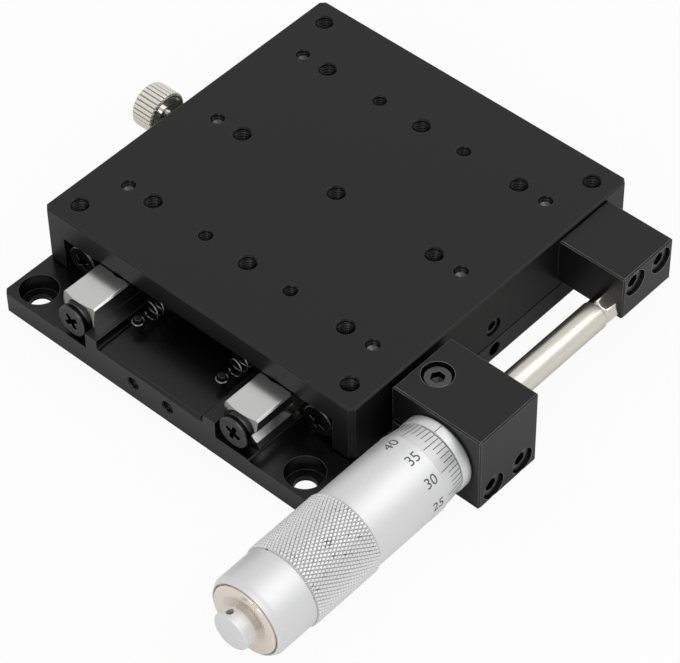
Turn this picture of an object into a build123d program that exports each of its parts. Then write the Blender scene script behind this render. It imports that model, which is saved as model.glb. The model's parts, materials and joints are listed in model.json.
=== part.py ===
from build123d import *
import os
from math import cos, radians, sin, sqrt

# Crossed-roller linear stage, moved by a micrometer head on its side. All sizes are in millimetres.
# X is the direction of travel, the micrometer is on the -Y side, Z is up. The origin is the centre of
# the base's underside. "Left" is the +Y side and "right" the -Y side, seen from the micrometer's button.
# The table stands at the + end of its travel, with the micrometer's spindle all the way out.

# The two plates
plate_side = 80.0
stage_height = 19.0
travel = 25.0
corner_cut = 1.0
edge_cut = 0.3
corner_hole_pitch = 70.0

# The base: a flange all round, a raised bed for the rails, a shoulder behind each rail
flange_t = 5.0
bed_rise = 0.3
shoulder_rise = 4.25
shoulder_w = 3.0
shoulder_y = 17.0
pocket_rise = 2.7
foot_groove_w = 1.2
foot_groove_depth = 0.6
pocket_lip_cut = 0.6
plate_gap = 0.5
roof_relief = 0.4
base_bore_d = 4.5
base_counterbore_d = 8.0
base_counterbore_depth = 3.8
front_hole_pitch = 9.0
front_hole_z = 4.35
side_hole_z = 2.8
spare_hole_x = 13.0
spare_thread_depth = 6.0

# The rails, in pairs with crossed rollers between their V grooves
rail_length = 75.0
rail_w = 8.3
rail_h = 8.0
rail_gap = 1.4
rail_corner_cut = 0.35
rail_end_circle_d = 7.9
rail_end_cut = 1.5
rail_hole_pitch = 25.0
rail_hole_count = 3
rail_hole_offset = 3.3
rail_counterbore_d = 5.8
rail_counterbore_depth = 3.2
groove_relief_w = 0.5
groove_relief_depth = 0.4
roller_d = 3.0
roller_length = 2.9
roller_count = 10
roller_pitch = 5.0
roller_clearance = 0.05
roller_lean = 45.0
cage_length = 54.0
cage_h = 6.6
cage_t = 0.8
cage_corner = 1.6
cage_hole_gap = 0.08

# Screws: nominal thread, head and socket sizes
m2_d = 2.0
m3_d = 3.0
m4_d = 4.0
m2_bore_d = 2.3
m2_countersink_d = 4.2
m3_head_d = 5.5
m3_head_h = 3.0
m3_socket = 2.5
m3_counterbore_d = 5.7
m3_counterbore_extra = 0.7
m3_bore_d = 3.3
m4_head_d = 7.0
m4_head_h = 2.8
m4_counterbore_d = 7.6
m4_counterbore_extra = 0.2
m4_bore_d = 4.4
m4_socket = 3.0
thread_gap = 0.05
head_cut = 0.3
socket_share = 0.5
end_head_d = 7.0
end_head_h = 1.2
end_screw_length = 6.0
end_washer_d = 6.4
end_washer_t = 0.8
end_washer_split = 0.7
cross_slot_l = 3.6
cross_slot_w = 0.9
cross_slot_depth = 0.7
hole_run_out = 0.4

# The table: tapped holes in a square grid, and pressing screws in its right wall
table_thread_pitch = 25.0
small_thread_x = 50.0
small_thread_y = 22.0
table_screw_length = 9.0
base_screw_length = 6.0
preload_d = 4.0
preload_length = 4.5
preload_socket = 2.0
preload_tip_cut = 0.5
preload_gap = 0.05

# The springs that hold the table against the spindle
spring_y = 11.0
spring_z = 10.2
spring_d = 4.0
spring_wire = 0.5
spring_pin_d = 1.5
spring_pin_depth = 3.0
spring_pin_over = 0.9
base_pin_x = -31.5
table_pin_x = 30.0
spring_eye_gap = 0.15
spring_neck = 2.2

# The micrometer's line, and the block on the base that clamps it
micrometer_reach = 12.4
micrometer_z = 9.4
bracket_x = -17.5
bracket_l = 16.3
bracket_wall = 9.7
bracket_bottom = 0.1
bracket_top = 18.4
bracket_clear = 1.0
bracket_screw_z = 3.15
bracket_screw_pitch = 8.2
bracket_screw_length = 25.0
clamp_x = -9.8
clamp_offset = 7.2
clamp_counterbore_d = 6.4
clamp_slit = 1.2
clamp_screw_length = 12.0

# The micrometer head
stem_d = 9.5
stem_over = 0.5
collar_d = 16.0
collar_l = 2.6
collar_cut = 0.4
barrel_d = 13.0
barrel_l = 29.5
thread_neck_d = 11.0
thread_neck_l = 7.0
adjusting_nut_step = 0.1
adjusting_nut_l = 4.5
adjusting_nut_slot = 1.5
adjusting_nut_slots = 4
spindle_d = 6.0
spindle_tip_cut = 0.5
journal_d = 5.0
running_gap = 0.05
thimble_front_gap = 0.3
thimble_bore_gap = 0.4
thimble_nose_wall = 0.9
thimble_scale_rise = 0.6
thimble_scale_l = 4.5
thimble_step = 0.1
thimble_length = 48.9
thimble_wall = 3.4
knurl_rise = 0.4
knurl_start = 23.0
knurl_end = 39.5
knurl_cut = 0.3
rim_fall = 0.6
rim_l = 1.2
rim_wall = 0.2
disc_t = 1.6
disc_proud = 0.4
well_d = 10.4
well_floor_d = 6.4
well_depth = 1.0
disc_notch_w = 1.1
disc_notch_depth = 1.1
disc_notch_angle = -114.0
button_d = 8.0
button_t = 2.7
button_cut = 0.35
button_neck_d = 5.6
button_neck_l = 0.8
button_stud_l = 6.0
cross_hole_d = 1.5
cross_hole_lean = 15.0

# The anvil on the table, which the spindle pushes, and its block
contact_gap = 0.05
anvil_flats = 5.0
anvil_l = 3.65
anvil_crown_d = 4.4
anvil_crown_l = 0.6
anvil_stud_l = 6.0
anvil_block_x = 19.1
anvil_block_l = 14.8
anvil_block_wall = 3.5
anvil_block_bottom = 7.4
anvil_block_top = 18.0
anvil_screw_drop = 3.3
anvil_screw_pitch = 7.8
anvil_screw_length = 16.0

# The lock on the left side
lock_plate_l = 44.0
lock_plate_t = 3.0
lock_plate_bottom = 0.3
lock_plate_top = 14.0
lock_plate_corner = 2.0
lock_plate_gap = 0.3
lock_plate_screw_pitch = 36.0
lock_plate_screw_length = 8.0
lock_z = 11.0
lock_slot_gap = 0.25
lock_d = 3.0
lock_tip_gap = 3.2
knob_gap = 3.0
knob_d = 9.8
knob_l = 5.6
knob_cut = 0.4
knob_dish_d = 8.0
knob_dish_depth = 0.5

# Places that follow from those sizes
half = plate_side / 2
table_shift = travel / 2
cage_shift = table_shift / 2
bed_z = flange_t + bed_rise
shoulder_z = flange_t + shoulder_rise
pocket_z = flange_t + pocket_rise
rail_z = bed_z + rail_h / 2
rail_top = bed_z + rail_h
roof_z = rail_top + roof_relief
table_bottom = flange_t + plate_gap
shoulder_inner_y = shoulder_y - shoulder_w
base_rail_y = shoulder_y + rail_w / 2
gap_y = shoulder_y + rail_w + rail_gap / 2
table_rail_y = gap_y + rail_gap / 2 + rail_w / 2
table_wall_y = table_rail_y + rail_w / 2
base_screw_y = shoulder_y + rail_hole_offset
table_screw_y = table_wall_y - rail_hole_offset
roller_seat = roller_d / 2 + roller_clearance
groove_depth = roller_seat * sqrt(2) - rail_gap / 2
table_seat_t = stage_height - rail_top
thread_cut = 2 * thread_gap
m2_thread_r = m2_d / 2 + thread_gap
m3_thread_r = m3_d / 2 + thread_gap
m4_thread_r = m4_d / 2 + thread_gap
m3_counterbore_depth = m3_head_h + m3_counterbore_extra
m4_counterbore_depth = m4_head_h + m4_counterbore_extra
bracket_screw_x = bracket_x + bracket_l / 2
micrometer_y = -half - micrometer_reach
bracket_inner_y = -half - bracket_clear
bracket_outer_y = micrometer_y - bracket_wall
clamp_y = micrometer_y + clamp_offset
anvil_block_outer_y = micrometer_y - anvil_block_wall
anvil_screw_x = anvil_block_x + anvil_block_l / 2
anvil_screw_z = anvil_block_top - anvil_screw_drop
lock_screw_x = table_shift
lock_tip_y = table_wall_y + lock_tip_gap
knob_y = half + lock_plate_t + knob_gap
spring_pin_hole_r = spring_pin_d / 2 + thread_gap

collar_x = bracket_x - collar_l
barrel_end_x = collar_x - barrel_l
neck_end_x = barrel_end_x - thread_neck_l
stem_end_x = bracket_x + bracket_l + stem_over
thimble_x = collar_x - thimble_front_gap
thimble_end_x = thimble_x - thimble_length
disc_seat_x = thimble_end_x - disc_proud + disc_t
thimble_wall_x = disc_seat_x + thimble_wall
disc_face_x = thimble_end_x - disc_proud
button_neck_x = disc_face_x - button_neck_l
anvil_seat_x = anvil_block_x + table_shift
anvil_x = anvil_seat_x - anvil_l
tip_x = anvil_x - contact_gap
anvil_corner_r = anvil_flats / sqrt(3)

barrel_r = barrel_d / 2
adjusting_nut_r = barrel_r - adjusting_nut_step
thimble_bore_r = barrel_r + thimble_bore_gap
thimble_nose_r = thimble_bore_r + thimble_nose_wall
thimble_scale_r = thimble_nose_r + thimble_scale_rise
thimble_r = thimble_scale_r + thimble_step
knurl_r = thimble_r + knurl_rise
rim_r = thimble_r - rim_fall
disc_seat_r = rim_r - rim_wall
disc_r = disc_seat_r - thread_gap

bracket_seat_y = bracket_outer_y + m3_counterbore_depth
bracket_thread_depth = bracket_seat_y + bracket_screw_length + half + hole_run_out
anvil_seat_y = anvil_block_outer_y + m3_counterbore_depth
anvil_thread_depth = anvil_seat_y + anvil_screw_length + half + hole_run_out
lock_thread_depth = lock_plate_screw_length - lock_plate_t + hole_run_out

axis_plane = Plane(
    origin=(0, micrometer_y, micrometer_z), x_dir=(1, 0, 0), z_dir=(0, -1, 0)
)
axis_line = Axis(axis_plane.origin, (1, 0, 0))
right_face = Plane(origin=(0, -half, 0), x_dir=(1, 0, 0), z_dir=(0, -1, 0))
left_face = Plane(origin=(0, half, 0), x_dir=(-1, 0, 0), z_dir=(0, 1, 0))
front_face = Plane(origin=(-half, 0, 0), x_dir=(0, -1, 0), z_dir=(-1, 0, 0))
underside = Plane(origin=(0, 0, 0), x_dir=(1, 0, 0), z_dir=(0, 0, -1))


def socket_screw(thread, length, head_d, head_h, socket):
    """A socket head screw pointing down, with its head's seat at the origin."""
    with BuildPart() as screw:
        with BuildSketch(Plane.XY):
            Circle(thread / 2)
        extrude(amount=-length)
        with BuildSketch(Plane.XY):
            Circle(head_d / 2)
        extrude(amount=head_h)
        top = screw.edges().group_by(Axis.Z)[-1]
        chamfer(top, head_cut)
        with BuildSketch(Plane.XY.offset(head_h)):
            RegularPolygon(socket / 2, 6, major_radius=False)
        extrude(amount=-head_h * socket_share, mode=Mode.SUBTRACT)
    return screw.part


def cross_screw(thread, length, head_d, head_h):
    """A flat cross-recessed screw pointing down, with its head's seat at the origin."""
    with BuildPart() as screw:
        with BuildSketch(Plane.XY):
            Circle(thread / 2)
        extrude(amount=-length)
        with BuildSketch(Plane.XY):
            Circle(head_d / 2)
        extrude(amount=head_h)
        top = screw.edges().group_by(Axis.Z)[-1]
        chamfer(top, head_cut)
        with BuildSketch(Plane.XY.offset(head_h)):
            Rectangle(cross_slot_l, cross_slot_w)
            Rectangle(cross_slot_w, cross_slot_l)
        extrude(amount=-cross_slot_depth, mode=Mode.SUBTRACT)
    return screw.part


def sunk_screw(thread, length, head_d):
    """A countersunk screw pointing down, with its head's flat face at the origin."""
    with BuildPart() as screw:
        with BuildSketch(Plane.XZ):
            with BuildLine():
                Polyline(
                    (0, 0),
                    (head_d / 2, 0),
                    (thread / 2, (thread - head_d) / 2),
                    (thread / 2, -length),
                    (0, -length),
                    close=True,
                )
            make_face()
        revolve(axis=Axis.Z)
    return screw.part


def set_screw(thread, length, socket, tip_cut):
    """A headless socket screw that stands on the origin, with its bevelled tip down."""
    with BuildPart() as screw:
        with BuildSketch(Plane.XY):
            Circle(thread / 2)
        extrude(amount=length)
        chamfer(screw.edges().group_by(Axis.Z)[0], tip_cut)
        with BuildSketch(Plane.XY.offset(length)):
            RegularPolygon(socket / 2, 6, major_radius=False)
        extrude(amount=-socket, mode=Mode.SUBTRACT)
    return screw.part


def split_washer(outer_d, inner_d, thickness, split):
    """A spring washer that stands on the origin, with its split towards +X."""
    with BuildPart() as washer:
        with BuildSketch(Plane.XY):
            Circle(outer_d / 2)
            Circle(inner_d / 2, mode=Mode.SUBTRACT)
            with Locations((outer_d / 2, 0)):
                Rectangle(outer_d, split, mode=Mode.SUBTRACT)
        extrude(amount=thickness)
    return washer.part


def v_rail():
    """A ground rail along X about the origin, with its groove towards +Y and its counterbores up."""
    with BuildPart() as rail:
        with BuildSketch(Plane.YZ.offset(-rail_length / 2)):
            section = Rectangle(rail_w, rail_h)
            chamfer(section.vertices(), rail_corner_cut)
            with BuildLine():
                Polyline(
                    (rail_w / 2, groove_depth),
                    (rail_w / 2 - groove_depth, 0),
                    (rail_w / 2, -groove_depth),
                    close=True,
                )
            make_face(mode=Mode.SUBTRACT)
            with Locations((rail_w / 2 - groove_depth, 0)):
                Rectangle(2 * groove_relief_depth, groove_relief_w, mode=Mode.SUBTRACT)
        extrude(amount=rail_length)
        with BuildSketch(Plane.XZ):
            with BuildLine():
                Polyline(
                    (-rail_length / 2, 0),
                    (-rail_length / 2, rail_end_circle_d / 2),
                    (-rail_length / 2 + rail_end_cut, rail_w),
                    (rail_length / 2 - rail_end_cut, rail_w),
                    (rail_length / 2, rail_end_circle_d / 2),
                    (rail_length / 2, 0),
                    close=True,
                )
            make_face()
        revolve(axis=Axis.X, mode=Mode.INTERSECT)
        with Locations((0, rail_hole_offset - rail_w / 2, rail_h / 2)):
            with GridLocations(rail_hole_pitch, 0, rail_hole_count, 1):
                CounterBoreHole(m4_thread_r, rail_counterbore_d / 2, rail_counterbore_depth)
        for end in (-1, 1):
            face = Plane(origin=(end * rail_length / 2, 0, 0), z_dir=(end, 0, 0))
            with Locations(face):
                Hole(m3_thread_r, depth=end_screw_length + hole_run_out)
    return rail.part


def rail_end_places(middle_x, y, lift):
    """The planes at both ends of the two rails of a body, at a height above the rails' ends."""
    return [
        Plane(
            origin=(middle_x + end * (rail_length / 2 + lift), side * y, rail_z),
            x_dir=(0, side, 0),
            z_dir=(end, 0, 0),
        )
        for side in (-1, 1)
        for end in (-1, 1)
    ]


def roller_places(side):
    """The planes of one row of rollers, which lean to one side and the other in turn."""
    places = []
    for i in range(roller_count):
        x = cage_shift + (i - (roller_count - 1) / 2) * roller_pitch
        lean = radians(roller_lean) if i % 2 else radians(-roller_lean)
        places.append(
            Plane(origin=(x, side * gap_y, rail_z), x_dir=(1, 0, 0), z_dir=(0, sin(lean), cos(lean)))
        )
    return places


def cage(side):
    """The thin strip that holds one row of rollers, with a hole in each roller's own shape."""
    with BuildPart() as strip:
        middle = Plane(
            origin=(cage_shift, side * gap_y, rail_z), x_dir=(1, 0, 0), z_dir=(0, 1, 0)
        )
        with BuildSketch(middle):
            RectangleRounded(cage_length, cage_h, cage_corner)
        extrude(amount=cage_t / 2, both=True)
        with Locations(*roller_places(side)):
            Cylinder(roller_d / 2 + cage_hole_gap, cage_h, mode=Mode.SUBTRACT)
    return strip.part


def spring(side):
    """A plain stand-in for a stretched extension spring: a tube, with an eye round each pin."""
    eye_inner = spring_pin_d / 2 + spring_eye_gap
    eye_outer = eye_inner + spring_wire
    ends = (base_pin_x, table_pin_x + table_shift)
    start, stop = ends[0] + spring_neck, ends[1] - spring_neck
    with BuildPart() as coil:
        with BuildSketch(Plane(origin=(start, side * spring_y, spring_z), z_dir=(1, 0, 0))):
            Circle(spring_d / 2)
            Circle(spring_d / 2 - spring_wire, mode=Mode.SUBTRACT)
        extrude(amount=stop - start)
        with BuildSketch(Plane.XY.offset(spring_z - spring_wire / 2)):
            with Locations(*[(x, side * spring_y) for x in ends]):
                Circle(eye_outer)
            for x, towards in zip(ends, (1, -1)):
                with Locations((x + towards * (eye_inner + spring_neck) / 2, side * spring_y)):
                    Rectangle(spring_neck - eye_inner + 2 * spring_wire, spring_d - spring_wire)
            with Locations(*[(x, side * spring_y) for x in ends]):
                Circle(eye_inner, mode=Mode.SUBTRACT)
        extrude(amount=spring_wire)
    return coil.part


rail = v_rail()
rail_end_screw = cross_screw(m3_d, end_screw_length + end_washer_t, end_head_d, end_head_h)
rail_end_washer = split_washer(end_washer_d, m3_bore_d, end_washer_t, end_washer_split)
base_rail_screw = socket_screw(m4_d, base_screw_length, m4_head_d, m4_head_h, m4_socket)
table_rail_screw = socket_screw(m3_d, table_screw_length, m3_head_d, m3_head_h, m3_socket)
bracket_screw = socket_screw(m3_d, bracket_screw_length, m3_head_d, m3_head_h, m3_socket)
pinch_screw = socket_screw(m3_d, clamp_screw_length, m3_head_d, m3_head_h, m3_socket)
anvil_screw = socket_screw(m3_d, anvil_screw_length, m3_head_d, m3_head_h, m3_socket)
lock_plate_screw = sunk_screw(m2_d, lock_plate_screw_length, m2_countersink_d - thread_cut)
preload_screw = set_screw(preload_d, preload_length, preload_socket, preload_tip_cut)


# The base body
with BuildPart() as base_plate:
    with BuildSketch(Plane.XY):
        outline = Rectangle(plate_side, plate_side)
        chamfer(outline.vertices(), corner_cut)
    extrude(amount=flange_t)
    chamfer(base_plate.edges().group_by(Axis.Z)[0], edge_cut)
    with BuildSketch(Plane.YZ.offset(-half)):
        with BuildLine() as half_section:
            Polyline(
                (0, flange_t),
                (shoulder_y + rail_w, flange_t),
                (shoulder_y + rail_w, bed_z),
                (shoulder_y, bed_z),
                (shoulder_y, shoulder_z),
                (shoulder_inner_y, shoulder_z),
                (shoulder_inner_y, pocket_z - foot_groove_depth),
                (shoulder_inner_y - foot_groove_w, pocket_z - foot_groove_depth),
                (shoulder_inner_y - foot_groove_w, pocket_z),
                (0, pocket_z),
            )
            mirror(half_section.line, about=Plane.YZ)
        make_face()
    extrude(amount=plate_side)
    pocket_face = base_plate.faces().filter_by(Plane.XY).sort_by(
        lambda face: (face.center() - Vector(0, 0, pocket_z)).length
    )[0]
    chamfer(pocket_face.edges().filter_by(Axis.Y), pocket_lip_cut)
    with Locations((0, 0, flange_t)):
        with GridLocations(corner_hole_pitch, corner_hole_pitch, 2, 2):
            CounterBoreHole(base_bore_d / 2, base_counterbore_d / 2, base_counterbore_depth)
    with Locations(underside):
        with GridLocations(rail_hole_pitch, 2 * base_screw_y, rail_hole_count, 2):
            CounterBoreHole(m4_bore_d / 2, m4_counterbore_d / 2, m4_counterbore_depth, bed_z)
    with Locations((base_pin_x, 0, pocket_z)):
        with GridLocations(0, 2 * spring_y, 1, 2):
            Hole(spring_pin_hole_r, depth=spring_pin_depth + thread_gap)
    with Locations(front_face):
        with Locations((0, front_hole_z)):
            with GridLocations(front_hole_pitch, 0, 2, 1):
                Hole(m3_thread_r, depth=spare_thread_depth)
    with Locations(right_face):
        with Locations((bracket_screw_x, bracket_screw_z)):
            with GridLocations(bracket_screw_pitch, 0, 2, 1):
                Hole(m3_thread_r, depth=bracket_thread_depth)
        with Locations((spare_hole_x, side_hole_z)):
            Hole(m3_thread_r, depth=spare_thread_depth)
    with Locations(left_face):
        with Locations((0, side_hole_z)):
            with GridLocations(lock_plate_screw_pitch, 0, 2, 1):
                Hole(m2_thread_r, depth=lock_thread_depth)
base_plate.part.label = "base_plate"

with BuildPart() as base_rail_left:
    with Locations((0, base_rail_y, rail_z)):
        add(rail)
base_rail_left.part.label = "base_rail_left"

with BuildPart() as base_rail_right:
    with Locations((0, -base_rail_y, rail_z)):
        add(rail, rotation=(0, 0, 180))
base_rail_right.part.label = "base_rail_right"

with BuildPart() as base_rail_screws:
    with Locations(underside.offset(-m4_counterbore_depth)):
        with GridLocations(rail_hole_pitch, 2 * base_screw_y, rail_hole_count, 2):
            add(base_rail_screw)
base_rail_screws.part.label = "base_rail_screws"

with BuildPart() as base_rail_end_washers:
    with Locations(*rail_end_places(0, base_rail_y, 0)):
        add(rail_end_washer)
base_rail_end_washers.part.label = "base_rail_end_washers"

with BuildPart() as base_rail_end_screws:
    with Locations(*rail_end_places(0, base_rail_y, end_washer_t)):
        add(rail_end_screw)
base_rail_end_screws.part.label = "base_rail_end_screws"

with BuildPart() as base_spring_pins:
    with Locations((base_pin_x, 0, pocket_z - spring_pin_depth)):
        with GridLocations(0, 2 * spring_y, 1, 2):
            Cylinder(
                spring_pin_d / 2,
                spring_z + spring_pin_over - pocket_z + spring_pin_depth,
                align=(Align.CENTER, Align.CENTER, Align.MIN),
            )
base_spring_pins.part.label = "base_spring_pins"

with BuildPart() as micrometer_bracket:
    with BuildSketch(Plane.YZ.offset(bracket_x)):
        with BuildLine():
            Polyline(
                (-half, bracket_bottom),
                (-half, flange_t),
                (bracket_inner_y, flange_t),
                (bracket_inner_y, bracket_top),
                (bracket_outer_y, bracket_top),
                (bracket_outer_y, bracket_bottom),
                close=True,
            )
        make_face()
    extrude(amount=bracket_l)
    outer_edges = micrometer_bracket.faces().sort_by(Axis.Y)[0].edges()
    top_edges = micrometer_bracket.faces().sort_by(Axis.Z)[-1].edges()
    chamfer(outer_edges + top_edges.filter_by(lambda e: e.center().Y > bracket_outer_y), edge_cut)
    with Locations(Plane(origin=(bracket_x, micrometer_y, micrometer_z), z_dir=(-1, 0, 0))):
        Hole(stem_d / 2 + thread_gap)
    with BuildSketch(Plane.YZ.offset(bracket_x)):
        with Locations((micrometer_y, micrometer_z)):
            Rectangle(
                bracket_inner_y - micrometer_y, clamp_slit, align=(Align.MIN, Align.CENTER)
            )
    extrude(amount=bracket_l, mode=Mode.SUBTRACT)
    with Locations((clamp_x, clamp_y, bracket_top)):
        CounterBoreHole(
            m3_thread_r,
            clamp_counterbore_d / 2,
            m3_counterbore_depth,
            m3_counterbore_depth + clamp_screw_length + hole_run_out,
        )
    with Locations(right_face.offset(-half - bracket_outer_y)):
        with Locations((bracket_screw_x, bracket_screw_z)):
            with GridLocations(bracket_screw_pitch, 0, 2, 1):
                CounterBoreHole(m3_bore_d / 2, m3_counterbore_d / 2, m3_counterbore_depth)
micrometer_bracket.part.label = "micrometer_bracket"

with BuildPart() as bracket_screws:
    with Locations(right_face.offset(-half - bracket_seat_y)):
        with Locations((bracket_screw_x, bracket_screw_z)):
            with GridLocations(bracket_screw_pitch, 0, 2, 1):
                add(bracket_screw)
bracket_screws.part.label = "bracket_screws"

with BuildPart() as clamp_screw:
    with Locations((clamp_x, clamp_y, bracket_top - m3_counterbore_depth)):
        add(pinch_screw)
clamp_screw.part.label = "clamp_screw"

with BuildPart() as micrometer_sleeve:
    with BuildSketch(axis_plane):
        with BuildLine():
            Polyline(
                (stem_end_x, spindle_d / 2 + running_gap),
                (stem_end_x, stem_d / 2),
                (bracket_x, stem_d / 2),
                (bracket_x, collar_d / 2 - collar_cut),
                (bracket_x - collar_cut, collar_d / 2),
                (collar_x, collar_d / 2),
                (collar_x, barrel_r),
                (barrel_end_x, barrel_r),
                (barrel_end_x, thread_neck_d / 2),
                (neck_end_x, thread_neck_d / 2),
                (neck_end_x, spindle_d / 2 + running_gap),
                close=True,
            )
        make_face()
    revolve(axis=axis_line)
micrometer_sleeve.part.label = "micrometer_sleeve"

with BuildPart() as adjusting_nut:
    with BuildSketch(Plane(origin=(barrel_end_x, micrometer_y, micrometer_z), z_dir=(-1, 0, 0))):
        Circle(adjusting_nut_r)
        with PolarLocations(adjusting_nut_r, adjusting_nut_slots):
            Rectangle(adjusting_nut_slot, adjusting_nut_slot, mode=Mode.SUBTRACT)
        Circle(thread_neck_d / 2 + thread_gap, mode=Mode.SUBTRACT)
    extrude(amount=adjusting_nut_l)
adjusting_nut.part.label = "adjusting_nut"

with BuildPart() as lock_plate:
    with BuildSketch(left_face.offset(lock_plate_t)):
        with Locations((0, lock_plate_bottom)):
            blank = Rectangle(
                lock_plate_l,
                lock_plate_top - lock_plate_bottom,
                align=(Align.CENTER, Align.MIN),
            )
        fillet(blank.vertices().group_by(Axis.Y)[-1], lock_plate_corner)
        with Locations((0, lock_z)):
            SlotCenterToCenter(travel, lock_d + 2 * lock_slot_gap, mode=Mode.SUBTRACT)
    extrude(amount=-lock_plate_t)
    with BuildSketch(left_face):
        with Locations((0, flange_t)):
            Rectangle(lock_plate_l, lock_plate_top, align=(Align.CENTER, Align.MIN))
    extrude(amount=lock_plate_gap, mode=Mode.SUBTRACT)
    with Locations(left_face.offset(lock_plate_t)):
        with Locations((0, side_hole_z)):
            with GridLocations(lock_plate_screw_pitch, 0, 2, 1):
                CounterSinkHole(m2_bore_d / 2, m2_countersink_d / 2)
lock_plate.part.label = "lock_plate"

with BuildPart() as lock_plate_screws:
    with Locations(left_face.offset(lock_plate_t)):
        with Locations((0, side_hole_z)):
            with GridLocations(lock_plate_screw_pitch, 0, 2, 1):
                add(lock_plate_screw)
lock_plate_screws.part.label = "lock_plate_screws"


# The table body
with BuildPart() as table_plate:
    with BuildSketch(Plane.XY.offset(table_bottom)):
        with Locations((table_shift, 0)):
            table_outline = Rectangle(plate_side, plate_side)
        chamfer(table_outline.vertices(), corner_cut)
    extrude(amount=stage_height - table_bottom)
    chamfer(table_plate.edges().group_by(Axis.Z)[-1], edge_cut)
    with BuildSketch(Plane.YZ.offset(table_shift - half)):
        with BuildLine() as half_cavity:
            Polyline(
                (0, table_bottom),
                (table_wall_y, table_bottom),
                (table_wall_y, rail_top),
                (gap_y, rail_top),
                (gap_y, roof_z),
                (0, roof_z),
            )
            mirror(half_cavity.line, about=Plane.YZ)
        make_face()
    extrude(amount=plate_side, mode=Mode.SUBTRACT)
    with Locations((table_shift, 0, stage_height)):
        with GridLocations(corner_hole_pitch, corner_hole_pitch, 2, 2):
            Hole(m4_thread_r, depth=table_seat_t)
        with GridLocations(table_thread_pitch, table_thread_pitch, 3, 3):
            Hole(m4_thread_r, depth=table_seat_t)
        with GridLocations(small_thread_x, small_thread_y, 2, 2):
            Hole(m3_thread_r, depth=table_seat_t)
        with GridLocations(rail_hole_pitch, 2 * table_screw_y, rail_hole_count, 2):
            Hole(m3_thread_r, depth=table_seat_t)
    with Locations(right_face):
        with Locations((table_shift, rail_z)):
            with GridLocations(rail_hole_pitch, 0, rail_hole_count, 1):
                Hole(preload_d / 2 + thread_gap, depth=half - table_wall_y)
        with Locations((anvil_screw_x + table_shift, anvil_screw_z)):
            with GridLocations(anvil_screw_pitch, 0, 2, 1):
                Hole(m3_thread_r, depth=anvil_thread_depth)
    with Locations(left_face):
        with Locations((-lock_screw_x, lock_z)):
            Hole(m3_thread_r, depth=half - table_wall_y)
    with Locations(Plane(origin=(table_pin_x + table_shift, 0, roof_z), z_dir=(0, 0, -1))):
        with GridLocations(0, 2 * spring_y, 1, 2):
            Hole(spring_pin_hole_r, depth=spring_pin_depth + thread_gap)
table_plate.part.label = "table_plate"

with BuildPart() as table_rail_left:
    with Locations((table_shift, table_rail_y, rail_z)):
        add(rail, rotation=(180, 0, 0))
table_rail_left.part.label = "table_rail_left"

with BuildPart() as table_rail_right:
    with Locations((table_shift, -table_rail_y, rail_z)):
        add(rail, rotation=(0, 180, 0))
table_rail_right.part.label = "table_rail_right"

with BuildPart() as table_rail_screws:
    upward = Plane(origin=(table_shift, 0, bed_z + rail_counterbore_depth), z_dir=(0, 0, -1))
    with Locations(upward):
        with GridLocations(rail_hole_pitch, 2 * table_screw_y, rail_hole_count, 2):
            add(table_rail_screw)
table_rail_screws.part.label = "table_rail_screws"

with BuildPart() as table_rail_end_washers:
    with Locations(*rail_end_places(table_shift, table_rail_y, 0)):
        add(rail_end_washer)
table_rail_end_washers.part.label = "table_rail_end_washers"

with BuildPart() as table_rail_end_screws:
    with Locations(*rail_end_places(table_shift, table_rail_y, end_washer_t)):
        add(rail_end_screw)
table_rail_end_screws.part.label = "table_rail_end_screws"

with BuildPart() as preload_screws:
    with Locations(right_face.offset(table_wall_y - half + preload_gap)):
        with Locations((table_shift, rail_z)):
            with GridLocations(rail_hole_pitch, 0, rail_hole_count, 1):
                add(preload_screw)
preload_screws.part.label = "preload_screws"

with BuildPart() as table_spring_pins:
    with Locations((table_pin_x + table_shift, 0, roof_z + spring_pin_depth)):
        with GridLocations(0, 2 * spring_y, 1, 2):
            Cylinder(
                spring_pin_d / 2,
                roof_z + spring_pin_depth - spring_z + spring_pin_over,
                align=(Align.CENTER, Align.CENTER, Align.MAX),
            )
table_spring_pins.part.label = "table_spring_pins"

with BuildPart() as anvil_bracket:
    with BuildSketch(Plane.XY.offset(anvil_block_bottom)):
        with Locations((anvil_block_x + table_shift, -half)):
            Rectangle(
                anvil_block_l, -anvil_block_outer_y - half, align=(Align.MIN, Align.MAX)
            )
    extrude(amount=anvil_block_top - anvil_block_bottom)
    outer_edges = anvil_bracket.faces().sort_by(Axis.Y)[0].edges()
    top_edges = anvil_bracket.faces().sort_by(Axis.Z)[-1].edges()
    chamfer(
        outer_edges + top_edges.filter_by(lambda e: e.center().Y > anvil_block_outer_y), edge_cut
    )
    with Locations(right_face.offset(-half - anvil_block_outer_y)):
        with Locations((anvil_screw_x + table_shift, anvil_screw_z)):
            with GridLocations(anvil_screw_pitch, 0, 2, 1):
                CounterBoreHole(m3_bore_d / 2, m3_counterbore_d / 2, m3_counterbore_depth)
    with Locations(Plane(origin=(anvil_seat_x, micrometer_y, micrometer_z), z_dir=(-1, 0, 0))):
        Hole(m3_thread_r, depth=anvil_stud_l + hole_run_out)
anvil_bracket.part.label = "anvil_bracket"

with BuildPart() as anvil_screws:
    with Locations(right_face.offset(-half - anvil_seat_y)):
        with Locations((anvil_screw_x + table_shift, anvil_screw_z)):
            with GridLocations(anvil_screw_pitch, 0, 2, 1):
                add(anvil_screw)
anvil_screws.part.label = "anvil_screws"

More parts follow.
